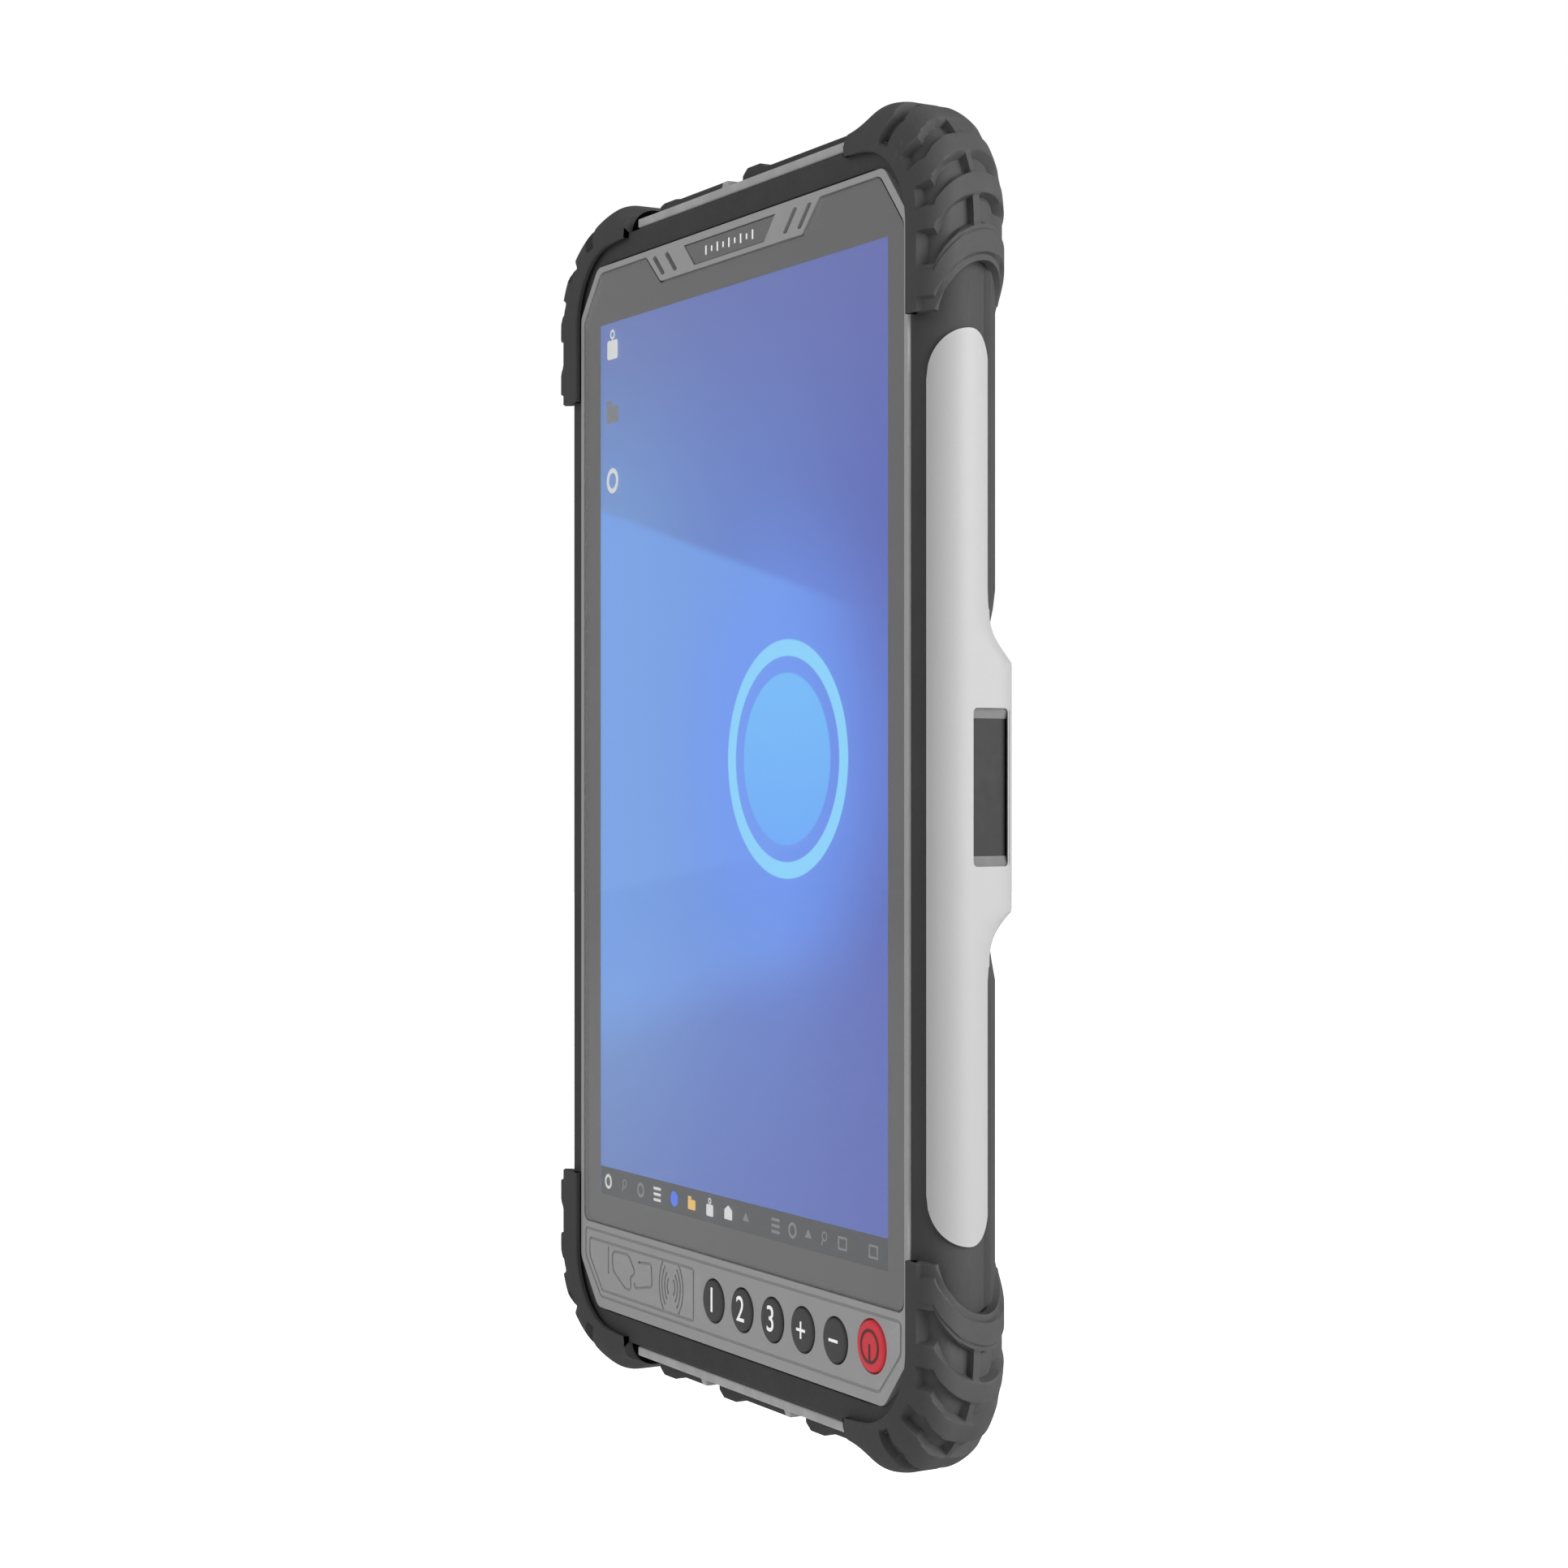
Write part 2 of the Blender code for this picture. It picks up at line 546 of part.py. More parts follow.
# ---- Inside: boards, connectors, battery, camera ----
def build_inside():
    block("main_board", (18.0, 40.5), (0.2, 1.2), (-88.0, 88.0), "circuit_green")
    block("shield_can", (20.0, 38.0), (1.5, 3.5), (30.0, 62.0), "steel", 0.4)
    block("top_io_board", (-38.0, 16.0), (-0.4, 0.2), (70.0, 90.0), "circuit_green")
    block("bottom_io_board", (-38.0, 16.0), (-0.4, 0.2), (-90.0, -72.0), "circuit_green")
    for name, x, width, thick, side in CONNECTORS:
        levels = sorted((side * 92.7, side * 105.6))
        block(name, (x - width / 2, x + width / 2), (2.0 - thick / 2, 2.0 + thick / 2),
              levels, "steel", 0.4)
    block("battery_pack", (BAY[0] + 0.6, BAY[1] - 0.6), (-0.3, 5.0),
          (BAY[2] + 0.6, BAY[3] - 0.6), "battery_black", 1.0)
    door = block("battery_cover", DOOR[:2], (DOOR_FRONT, 6.6), DOOR[2:], "dark_housing")
    for number, (x, z) in enumerate(DOOR_SCREWS, 1):
        cut(door, disc("door_hole", x, z, 3.2, 4.0, 8.0, sides=16),
            disc("door_counterbore", x, z, 5.4, 6.0, 8.0, sides=16))
        turned("battery_cover_screw_%d" % number, x, z,
               [(0, 3.0), (1.2, 3.0), (1.2, 6.3), (2.3, 6.3), (2.3, 7.0), (0, 7.0)],
               "steel", sides=12)
    disc("rear_camera", *CAMERA_AT, 8.6, 0.0, 5.2, "battery_black")
    disc("camera_window", *CAMERA_AT, 8.6, 5.5, 6.4, "smoked_window")
    disc("camera_flash", *FLASH_AT, 3.6, 3.0, 6.3, "lamp", 16)
    block("loudspeaker", (-60.0, -44.0), (-0.3, 3.5), (-95.0, -80.0), "battery_black", 0.6)


build_front()
build_keys()
build_housing()
build_bumpers()
build_grip()
build_edges()
build_inside()
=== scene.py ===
import bpy
import bmesh
import math
from mathutils import Vector, Matrix


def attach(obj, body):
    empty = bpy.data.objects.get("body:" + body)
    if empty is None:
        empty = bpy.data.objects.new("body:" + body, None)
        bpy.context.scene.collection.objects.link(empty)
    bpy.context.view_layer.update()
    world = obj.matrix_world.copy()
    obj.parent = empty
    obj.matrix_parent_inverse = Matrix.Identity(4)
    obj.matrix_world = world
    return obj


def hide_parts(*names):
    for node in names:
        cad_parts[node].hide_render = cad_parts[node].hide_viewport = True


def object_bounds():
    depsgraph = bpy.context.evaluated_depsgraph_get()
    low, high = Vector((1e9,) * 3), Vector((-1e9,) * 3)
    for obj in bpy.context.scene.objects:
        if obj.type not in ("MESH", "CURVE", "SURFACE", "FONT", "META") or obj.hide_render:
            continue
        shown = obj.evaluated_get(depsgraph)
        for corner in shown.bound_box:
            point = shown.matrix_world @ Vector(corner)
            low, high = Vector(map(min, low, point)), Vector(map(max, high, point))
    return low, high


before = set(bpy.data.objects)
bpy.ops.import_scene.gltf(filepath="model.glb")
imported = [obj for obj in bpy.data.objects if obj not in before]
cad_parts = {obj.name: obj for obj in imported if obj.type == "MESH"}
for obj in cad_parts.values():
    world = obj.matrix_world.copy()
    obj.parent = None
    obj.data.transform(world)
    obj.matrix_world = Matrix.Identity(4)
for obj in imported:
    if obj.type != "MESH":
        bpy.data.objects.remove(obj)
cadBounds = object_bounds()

mm = 0.001
midZ = (cadBounds[0][2] + cadBounds[1][2]) / 2   # outlines are drawn about the tablet's middle
bpy.context.scene.view_settings.view_transform = "Standard"


# Small helpers that everything below uses
def addObject(name, data):
    thing = bpy.data.objects.new(name, data)
    bpy.context.scene.collection.objects.link(thing)
    return thing


def meshFrom(name, bm):
    mesh = bpy.data.meshes.new(name)
    bm.to_mesh(mesh)
    bm.free()
    return mesh


def newMaterial(name):
    material = bpy.data.materials.new(name)
    material.use_nodes = True
    return material, material.node_tree, material.node_tree.nodes["Principled BSDF"]


# Camera and studio
studio = {
    "eye": (458.3, -260.9), "lookAlong": (-0.8667, 0.4996, 0.0), "lens": 65.8,
    "shift": 0.0021, "ambient": 0.32, "floorGlow": 0.93, "floorRadius": 4.0,
    "floorDrop": 0.05,      # leaves room for the lower covers to swing down
    "keyPlace": (1.75, 0.75, 0.55), "keySize": 1.5, "keyPower": 34.0,
    "fillPlace": (-0.6, -2.2, 1.2), "fillSize": 1.6, "fillPower": 8.5,
}


def areaLight(name, place, size, power):
    light = bpy.data.lights.new(name, "AREA")
    light.shape = "DISK"
    light.size = size
    light.energy = power
    lamp = addObject(name, light)
    lamp.location = place
    aim = Vector((0, 0, midZ)) - Vector(place)
    lamp.rotation_euler = aim.to_track_quat("-Z", "Y").to_euler()


def makeStudio():
    camera = addObject("camera", bpy.data.cameras.new("camera"))
    camera.data.lens = studio["lens"]
    camera.data.sensor_width = 36
    camera.data.shift_y = studio["shift"]
    camera.data.clip_start = 0.01
    camera.location = (studio["eye"][0] * mm, studio["eye"][1] * mm, midZ)
    camera.rotation_euler = Vector(studio["lookAlong"]).to_track_quat("-Z", "Y").to_euler()
    bpy.context.scene.camera = camera
    areaLight("keyLight", studio["keyPlace"], studio["keySize"], studio["keyPower"])
    areaLight("fillLight", studio["fillPlace"], studio["fillSize"], studio["fillPower"])

    world = bpy.data.worlds.new("studioWorld")
    bpy.context.scene.world = world
    world.use_nodes = True
    tree = world.node_tree
    background = tree.nodes["Background"]
    background.inputs["Color"].default_value = (1, 1, 1, 1)
    rays = tree.nodes.new("ShaderNodeLightPath")
    strength = tree.nodes.new("ShaderNodeMapRange")   # white to the eye, softer as a light
    strength.inputs["To Min"].default_value = studio["ambient"]
    strength.inputs["To Max"].default_value = 1.0
    tree.links.new(rays.outputs["Is Camera Ray"], strength.inputs["Value"])
    tree.links.new(strength.outputs["Result"], background.inputs["Strength"])

    bm = bmesh.new()
    bmesh.ops.create_circle(bm, cap_ends=True, segments=96, radius=studio["floorRadius"])
    floor = addObject("floor", meshFrom("floor", bm))
    floor.location.z = cadBounds[0][2] - studio["floorDrop"]
    paper, tree, shader = newMaterial("studioPaper")
    shader.inputs["Base Color"].default_value = (0.9, 0.9, 0.9, 1)
    shader.inputs["Roughness"].default_value = 0.9
    shader.inputs["Emission Color"].default_value = (1, 1, 1, 1)
    rays = tree.nodes.new("ShaderNodeLightPath")
    glow = tree.nodes.new("ShaderNodeMath")
    glow.operation = "MULTIPLY"
    glow.inputs[1].default_value = studio["floorGlow"]
    tree.links.new(rays.outputs["Is Camera Ray"], glow.inputs[0])
    tree.links.new(glow.outputs[0], shader.inputs["Emission Strength"])
    floor.data.materials.append(paper)


makeStudio()
print("studio ready")


# Shader groups that several finishes share
def newGroup(name, inputs, outputs):
    group = bpy.data.node_groups.new(name, "ShaderNodeTree")
    for label, default in inputs:
        socket = group.interface.new_socket(label, in_out="INPUT", socket_type="NodeSocketFloat")
        socket.default_value = default
    for label in outputs:
        group.interface.new_socket(label, in_out="OUTPUT", socket_type="NodeSocketFloat")
    return group, group.nodes.new("NodeGroupInput"), group.nodes.new("NodeGroupOutput")


def calc(tree, operation, first, second=0.0, third=None, clamp=False):
    node = tree.nodes.new("ShaderNodeMath")
    node.operation = operation
    node.use_clamp = clamp
    for index, value in enumerate((first, second, third)):
        if value is None:
            continue
        if isinstance(value, (int, float)):
            node.inputs[index].default_value = value
        else:
            tree.links.new(value, node.inputs[index])
    return node.outputs[0]


def objectPlace(tree):
    return tree.nodes.new("ShaderNodeTexCoord").outputs["Object"]


def noiseNode(tree, coordinates, scale, detail=4.0, rough=0.55):
    node = tree.nodes.new("ShaderNodeTexNoise")
    node.inputs["Detail"].default_value = detail
    node.inputs["Roughness"].default_value = rough
    tree.links.new(coordinates, node.inputs["Vector"])
    if isinstance(scale, (int, float)):
        node.inputs["Scale"].default_value = scale
    else:
        tree.links.new(scale, node.inputs["Scale"])
    return node.outputs[0]


def mouldedGrainGroup():
    group, given, result = newGroup("mouldedGrain", [("Scale", 900.0), ("Mottle", 0.1)],
                                    ["Shade", "Height"])
    place = objectPlace(group)
    fine = noiseNode(group, place, given.outputs["Scale"], 3.0, 0.6)
    broad = noiseNode(group, place, 22.0, 3.0, 0.5)
    pores = group.nodes.new("ShaderNodeTexVoronoi")
    pores.feature = "F1"
    group.links.new(place, pores.inputs["Vector"])
    group.links.new(given.outputs["Scale"], pores.inputs["Scale"])
    height = calc(group, "MULTIPLY_ADD", pores.outputs["Distance"], -0.5, fine)
    spread = calc(group, "SUBTRACT", calc(group, "MULTIPLY_ADD", fine, 0.35, broad), 0.675)
    shade = calc(group, "MULTIPLY_ADD", spread, given.outputs["Mottle"], 1.0)
    group.links.new(shade, result.inputs["Shade"])
    group.links.new(height, result.inputs["Height"])
    return group


def edgeWearGroup():
    group, given, result = newGroup("edgeWear", [("Amount", 0.4)], ["Mask"])
    place = objectPlace(group)
    sharp = group.nodes.new("ShaderNodeNewGeometry").outputs["Pointiness"]
    edge = group.nodes.new("ShaderNodeMapRange")
    edge.inputs["From Min"].default_value = 0.52
    edge.inputs["From Max"].default_value = 0.62
    group.links.new(sharp, edge.inputs["Value"])
    patches = calc(group, "SUBTRACT", noiseNode(group, place, 260.0, 4.0), 0.38, clamp=True)
    mask = calc(group, "MULTIPLY", calc(group, "MULTIPLY", edge.outputs[0], patches), 3.0)
    group.links.new(calc(group, "MULTIPLY", mask, given.outputs["Amount"], clamp=True),
                    result.inputs["Mask"])
    return group


def softDustGroup():
    group, given, result = newGroup("softDust", [("Amount", 0.2)], ["Mask"])
    place = objectPlace(group)
    facing = group.nodes.new("ShaderNodeSeparateXYZ")
    group.links.new(group.nodes.new("ShaderNodeNewGeometry").outputs["Normal"], facing.inputs[0])
    upward = calc(group, "MULTIPLY_ADD", facing.outputs["Z"], 0.5, 0.5)
    cloud = calc(group, "SUBTRACT", noiseNode(group, place, 60.0, 5.0, 0.65), 0.3, clamp=True)
    mask = calc(group, "MULTIPLY", calc(group, "MULTIPLY", cloud, upward), given.outputs["Amount"])
    group.links.new(mask, result.inputs["Mask"])
    return group


grainGroup = mouldedGrainGroup()
wearGroup = edgeWearGroup()
dustGroup = softDustGroup()


def mixColour(tree, factor, first, second, blend="MIX"):
    node = tree.nodes.new("ShaderNodeMix")
    node.data_type = "RGBA"
    node.blend_type = blend
    for index, value in ((0, factor), (6, first), (7, second)):
        if isinstance(value, (int, float)):
            node.inputs[index].default_value = value
        elif isinstance(value, tuple):
            node.inputs[index].default_value = (*value, 1.0)
        else:
            tree.links.new(value, node.inputs[index])
    return node.outputs[2]


def useGroup(tree, group, **values):
    node = tree.nodes.new("ShaderNodeGroup")
    node.node_tree = group
    for label, value in values.items():
        node.inputs[label].default_value = value
    return node.outputs


# moulded plastic, rubber or metal with grain, worn edges and a little dust
def finish(name, colour, rough=0.55, metal=0.0, scale=900.0, mottle=0.10, bump=0.12,
           wear=0.3, dust=0.15, worn=None, glow=0.0, specular=0.5):
    material, tree, shader = newMaterial(name)
    shader.inputs["Metallic"].default_value = metal
    shader.inputs["Specular IOR Level"].default_value = specular
    grain = useGroup(tree, grainGroup, Scale=scale, Mottle=mottle)
    edge = useGroup(tree, wearGroup, Amount=wear)
    film = useGroup(tree, dustGroup, Amount=dust)
    tint = tree.nodes.new("ShaderNodeCombineXYZ")
    for axis in "XYZ":
        tree.links.new(grain["Shade"], tint.inputs[axis])
    base = mixColour(tree, 1.0, colour, tint.outputs[0], "MULTIPLY")
    base = mixColour(tree, edge["Mask"], base, worn or tuple(min(1, c * 1.5 + 0.03) for c in colour))
    base = mixColour(tree, film["Mask"], base, (0.46, 0.44, 0.41))
    tree.links.new(base, shader.inputs["Base Color"])
    gloss = calc(tree, "MULTIPLY_ADD", grain["Height"], 0.12, rough - 0.04)
    tree.links.new(calc(tree, "MULTIPLY_ADD", film["Mask"], 0.3, gloss, True),
                   shader.inputs["Roughness"])
    relief = tree.nodes.new("ShaderNodeBump")
    relief.inputs["Strength"].default_value = bump
    relief.inputs["Distance"].default_value = 0.0002
    tree.links.new(grain["Height"], relief.inputs["Height"])
    tree.links.new(relief.outputs[0], shader.inputs["Normal"])
    # glow: real display light for the bar and icons, painted light for the ink border, white legends,
    # nameplate ticks and red key
    if glow:
        tree.links.new(base, shader.inputs["Emission Color"])
        shader.inputs["Emission Strength"].default_value = glow
    return material


def row(colour, rough, scale=1500, **others):
    return {"colour": colour, "rough": rough, "scale": scale, **others}


plain = {"bump": 0.0, "dust": 0.0, "wear": 0.0}
looks = {
    "bezelGrey": row((0.52, 0.52, 0.524), 0.5, 1400, bump=0.10),
    "housingDark": row((0.068, 0.068, 0.07), 0.66, 1100, bump=0.16, specular=0.2),
    "bumperRubber": row((0.076, 0.076, 0.078), 0.75, 800, mottle=0.16, bump=0.22, wear=0.35,
                        dust=0.2, specular=0.35),
    "coverRubber": row((0.066, 0.066, 0.068), 0.72, 800, bump=0.2, specular=0.35),
    "gripGrey": row((0.50, 0.50, 0.50), 0.5, 1200, mottle=0.05, bump=0.08, wear=0.15, dust=0.10,
                    worn=(0.86, 0.86, 0.85)),
    "trimGrey": row((0.60, 0.60, 0.60), 0.5, 1200, bump=0.08),
    "nameplateGrey": row((0.24, 0.24, 0.24), 0.4, 1600, bump=0.05),
    "keyBlack": row((0.085, 0.085, 0.088), 0.6, bump=0.1),
    # the red cap glows slightly as painted light
    "keyRedPaintedGlow": row((0.86, 0.045, 0.07), 0.5, bump=0.08, mottle=0.06, glow=0.12),
    # white print glows as painted light, brightening the key legends and nameplate ticks
    "legendWhitePaintedGlow": row((0.9, 0.9, 0.9), 0.5, bump=0.02, dust=0.0, wear=0.0, glow=0.45),
    "legendBrown": row((0.16, 0.03, 0.025), 0.5, bump=0.02),
    # the border ink glows as painted light, standing in for the light the cover glass keeps from it
    "inkGreyPaintedGlow": row((0.155, 0.155, 0.157), 0.6, bump=0.02, dust=0.0, wear=0.0, glow=0.42),
    "paneDark": row((0.03, 0.03, 0.031), 0.5, 500, bump=0.03, wear=0.0, dust=0.05, specular=0.25),
    "silicone": row((0.2, 0.2, 0.2), 0.8, 700, bump=0.2),
    "moduleBlack": row((0.05, 0.05, 0.055), 0.5, 900),
    "screwSteel": row((0.42, 0.42, 0.43), 0.35, 1600, metal=1.0, bump=0.06, wear=0.5),
    "chassisMetal": row((0.55, 0.56, 0.57), 0.5, 500, metal=1.0, bump=0.3),
    "copperFoil": row((0.75, 0.40, 0.24), 0.35, 900, metal=1.0, bump=0.1),
    "flashLens": row((0.85, 0.83, 0.70), 0.3, 2500, bump=0.3),
    "circuitBoard": row((0.02, 0.14, 0.06), 0.35, 600),
    "smokedWindow": row((0.075, 0.073, 0.075), 0.22, 300, bump=0.01, wear=0.0, dust=0.1),
    "barSlate": row((0.05, 0.055, 0.06), 0.5, 1800, glow=1.0, **plain),
    "iconPale": row((0.75, 0.76, 0.74), 0.5, 1800, glow=0.7, **plain),
    "iconAmber": row((0.80, 0.50, 0.12), 0.5, 1800, glow=0.8, **plain),
    "iconBlue": row((0.06, 0.16, 0.75), 0.5, 1800, glow=0.9, **plain),
    "iconDim": row((0.24, 0.25, 0.26), 0.5, 1800, glow=0.6, **plain),
}
finishes = {name: finish(name, **values) for name, values in looks.items()}
finishes["smokedWindow"].node_tree.nodes["Principled BSDF"].inputs["Coat Weight"].default_value = 0.6


def addTracks():
    tree = finishes["circuitBoard"].node_tree
    shader = tree.nodes["Principled BSDF"]
    coordinates = objectPlace(tree)
    tracks = tree.nodes.new("ShaderNodeTexBrick")
    tracks.inputs["Scale"].default_value = 160.0
    tracks.inputs["Mortar Size"].default_value = 0.03
    turn = tree.nodes.new("ShaderNodeMapping")
    turn.inputs["Rotation"].default_value = (math.pi / 2, 0, 0)
    tree.links.new(coordinates, turn.inputs["Vector"])
    tree.links.new(turn.outputs[0], tracks.inputs["Vector"])
    mask = looks["circuitBoard"]["colour"]
    base = mixColour(tree, tracks.outputs["Fac"], mask, (0.05, 0.28, 0.12))
    tree.links.new(base, shader.inputs["Base Color"])


def glassFinish():
    material, tree, shader = newMaterial("coverGlass")
    shader.inputs["Base Color"].default_value = (0.98, 0.98, 0.985, 1)
    shader.inputs["Transmission Weight"].default_value = 1.0
    shader.inputs["IOR"].default_value = 1.5
    smear = useGroup(tree, dustGroup, Amount=0.25)
    tree.links.new(calc(tree, "MULTIPLY_ADD", smear["Mask"], 0.3, 0.035), shader.inputs["Roughness"])
    return material


addTracks()
finishes["coverGlass"] = glassFinish()


# Screen picture: soft blue sweep, a glowing ring and light fanning away from it
screen = {
    "half": 53.85, "low": -80.6, "high": 91.7, "barTop": -75.2, "barIcons": -78.0,
    "sideIcons": -48.7,
    "ring": (19.5, 5.0), "ringRadius": 21.0, "ringWidth": 2.6, "ringSoft": 0.35, "coreRadius": 15.5,
    "left": (0.15, 0.32, 0.68), "middle": (0.105, 0.20, 0.60), "right": (0.085, 0.125, 0.47),
}


def screenFinish():
    material, tree, shader = newMaterial("screenPicture")
    split = tree.nodes.new("ShaderNodeSeparateXYZ")
    coordinates = objectPlace(tree)
    tree.links.new(coordinates, split.inputs[0])
    across = calc(tree, "DIVIDE", split.outputs["X"], mm)
    up = calc(tree, "DIVIDE", calc(tree, "SUBTRACT", split.outputs["Z"], midZ), mm)

    def stepUp(value, start, end):
        node = tree.nodes.new("ShaderNodeMapRange")
        node.interpolation_type = "SMOOTHSTEP"
        node.inputs["From Min"].default_value = start
        node.inputs["From Max"].default_value = end
        tree.links.new(value, node.inputs["Value"])
        return node.outputs[0]

    def both(first, second):
        return calc(tree, "MULTIPLY", first, second)

    def above(slope, level):      # height above a line that leans away from the ring
        return calc(tree, "SUBTRACT", up, calc(tree, "MULTIPLY_ADD", reach, slope, level))

    sweep = mixColour(tree, stepUp(across, -60.0, 10.0), screen["left"], screen["middle"])
    sweep = mixColour(tree, stepUp(across, 0.0, 60.0), sweep, screen["right"])
    # dimmer and more violet towards the top and the bottom
    sweep = mixColour(tree, both(stepUp(up, 40.0, 100.0), 0.75), sweep, (0.12, 0.14, 0.40))
    sweep = mixColour(tree, both(stepUp(up, -20.0, -90.0), 0.65), sweep, (0.085, 0.12, 0.40))
    # a fan of light that widens to the left and fades out to the right
    reach = calc(tree, "SUBTRACT", screen["ring"][0] + 26.0, across)
    fan = both(stepUp(above(0.25, 30.0), 1.2, -1.2), stepUp(above(-0.24, -19.0), -14.0, 2.0))
    fan = both(fan, stepUp(across, 50.0, 14.0))
    sweep = mixColour(tree, both(fan, 0.5), sweep, (0.15, 0.36, 0.92))
    bright = both(fan, stepUp(above(-0.13, -8.0), -1.0, 1.0))
    sweep = mixColour(tree, both(bright, 0.3), sweep, (0.18, 0.40, 0.90))
    # glow behind the ring
    offX = calc(tree, "SUBTRACT", across, screen["ring"][0])
    offZ = calc(tree, "SUBTRACT", up, screen["ring"][1])
    far = calc(tree, "POWER", calc(tree, "ADD", both(offX, offX), both(offZ, offZ)), 0.5)
    sweep = mixColour(tree, both(stepUp(far, 52.0, 16.0), 0.6), sweep, (0.13, 0.30, 0.99))
    radius, soft = screen["ringRadius"], screen["ringSoft"]
    hollow = radius - screen["ringWidth"]
    band = both(stepUp(far, hollow - soft, hollow), stepUp(far, radius + soft, radius))
    core = stepUp(far, screen["coreRadius"], screen["coreRadius"] - 0.5)
    coreTint = mixColour(tree, stepUp(up, -25.0, 30.0), (0.12, 0.40, 0.98), (0.16, 0.55, 1.0))
    sweep = mixColour(tree, both(core, 0.85), sweep, coreTint)
    sweep = mixColour(tree, band, sweep, (0.24, 0.66, 1.0))
    # cells of the panel, only just visible
    cells = noiseNode(tree, coordinates, 1800.0, 1.0)
    sweep = mixColour(tree, both(cells, 0.05), sweep, (0.0, 0.0, 0.0))
    shader.inputs["Base Color"].default_value = (0.01, 0.01, 0.012, 1)
    shader.inputs["Roughness"].default_value = 0.4
    tree.links.new(sweep, shader.inputs["Emission Color"])
    shader.inputs["Emission Strength"].default_value = 1.08
    return material


finishes["screenPicture"] = screenFinish()
print("finishes ready:", len(finishes))


# Mesh helpers
def at(x, y, z):
    return Vector((x * mm, y * mm, z * mm + midZ))


def makePiece(name, bm, finishName, body="tablet", nodes=(), sharp=12):
    mesh = meshFrom(name, bm)
    mesh.shade_smooth()
    mesh.set_sharp_from_angle(angle=math.radians(sharp))
    mesh.materials.append(finishes[finishName])
    piece = addObject(name, mesh)
    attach(piece, body)
    if nodes:
        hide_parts(*nodes)
    return piece


# closed outline through (x, z, radius) corners
def rounded(corners, steps=8):
    points = []
    for index, (x, z, radius) in enumerate(corners):
        here = Vector((x, z))
        if radius == 0:
            points.append((x, z))
            continue
        back = (Vector(corners[index - 1][:2]) - here).normalized()
        ahead = (Vector(corners[(index + 1) % len(corners)][:2]) - here).normalized()
        half = back.angle(ahead) / 2
        centre = here + (back + ahead).normalized() * radius / math.sin(half)
        first = here + back * radius / math.tan(half) - centre
        last = here + ahead * radius / math.tan(half) - centre
        sweep = math.atan2(first.x * last.y - first.y * last.x, first.dot(last))
        for step in range(steps + 1):
            turned = Matrix.Rotation(sweep * step / steps, 2) @ first
            points.append((centre.x + turned.x, centre.y + turned.y))
    return points


def circle(x, z, radius, sides=48):
    return [(x + radius * math.cos(2 * math.pi * i / sides),
             z + radius * math.sin(2 * math.pi * i / sides)) for i in range(sides)]


def box2d(left, right, low, high, radius=0.0, steps=6):
    return rounded([(left, low, radius), (right, low, radius),
                    (right, high, radius), (left, high, radius)], steps)


planes = {
    "Y": lambda a, b, level: at(a, level, b),
    "X": lambda a, b, level: at(level, a, b),
    "Z": lambda a, b, level: at(a, b, level),
}


cornerAngle = 0.6      # only edges sharper than this are rounded


# plate of any outline, with holes, between two levels, and with rounded rims
def slab(bm, outline, low, high, holes=(), edge=0.4, segments=2, along="Y", ends="both"):
    where = planes[along]
    rim = []
    for loop in (outline, *holes):
        verts = [bm.verts.new(where(a, b, low)) for a, b in loop]
        rim += [bm.edges.new((verts[i - 1], verts[i])) for i in range(len(verts))]
    filled = bmesh.ops.triangle_fill(bm, use_beauty=True, edges=rim)
    faces = [g for g in filled["geom"] if isinstance(g, bmesh.types.BMFace)]
    raised = bmesh.ops.extrude_face_region(bm, geom=faces)["geom"]
    top = [g for g in raised if isinstance(g, bmesh.types.BMVert)]
    bmesh.ops.translate(bm, verts=top, vec=where(0, 0, high) - where(0, 0, low))
    base = {v for e in rim for v in e.verts}
    everything = base | set(top)
    shell = [f for f in bm.faces if all(v in everything for v in f.verts)]
    bmesh.ops.recalc_face_normals(bm, faces=shell)
    if edge:
        topSet = set(top)
        chosen = []
        for e in bm.edges:
            level = "low" if all(v in base for v in e.verts) else (
                "high" if all(v in topSet for v in e.verts) else "")
            if level and ends in ("both", level) and e.calc_face_angle(0) > cornerAngle:
                chosen.append(e)
        bmesh.ops.bevel(bm, geom=chosen, offset=edge * mm, offset_type="OFFSET", segments=segments,
                        profile=0.5, affect="EDGES", clamp_overlap=True, material=-1)


def plate(name, finishName, *shape, nodes=(), slotName=None, **how):
    bm = bmesh.new()
    slab(bm, *shape, **how)
    return makePiece(name, bm, finishName, nodes=nodes)


# round piece about an axis along Y, from a (radius, y) profile
def spun(bm, x, z, profile, steps=48):
    verts = [bm.verts.new(at(x + radius, y, z)) for radius, y in profile]
    edges = [bm.edges.new(pair) for pair in zip(verts, verts[1:])]
    bmesh.ops.spin(bm, geom=verts + edges, cent=at(x, 0, z), axis=(0, 1, 0),
                   angle=2 * math.pi, steps=steps, use_merge=True)
    bmesh.ops.remove_doubles(bm, verts=bm.verts, dist=1e-7)
    bmesh.ops.recalc_face_normals(bm, faces=bm.faces)


# grid bent into shape: where(u, v) gives each point, u and v from 0 to 1
def mapped(bm, across, along, where):
    for vert in bmesh.ops.create_grid(bm, x_segments=across, y_segments=along, size=0.5)["verts"]:
        vert.co = where(vert.co.x + 0.5, vert.co.y + 0.5)


# an outer and an inner bent grid, joined round their rims
def shellBetween(bm, across, along, outside, inside):
    mapped(bm, across, along, outside)
    mapped(bm, across, along, inside)
    bmesh.ops.bridge_loops(bm, edges=[e for e in bm.edges if e.is_boundary])
    bmesh.ops.recalc_face_normals(bm, faces=bm.faces)


def meshOf(guide):
    bpy.context.view_layer.update()
    return bpy.data.meshes.new_from_object(
        guide.evaluated_get(bpy.context.evaluated_depsgraph_get()))


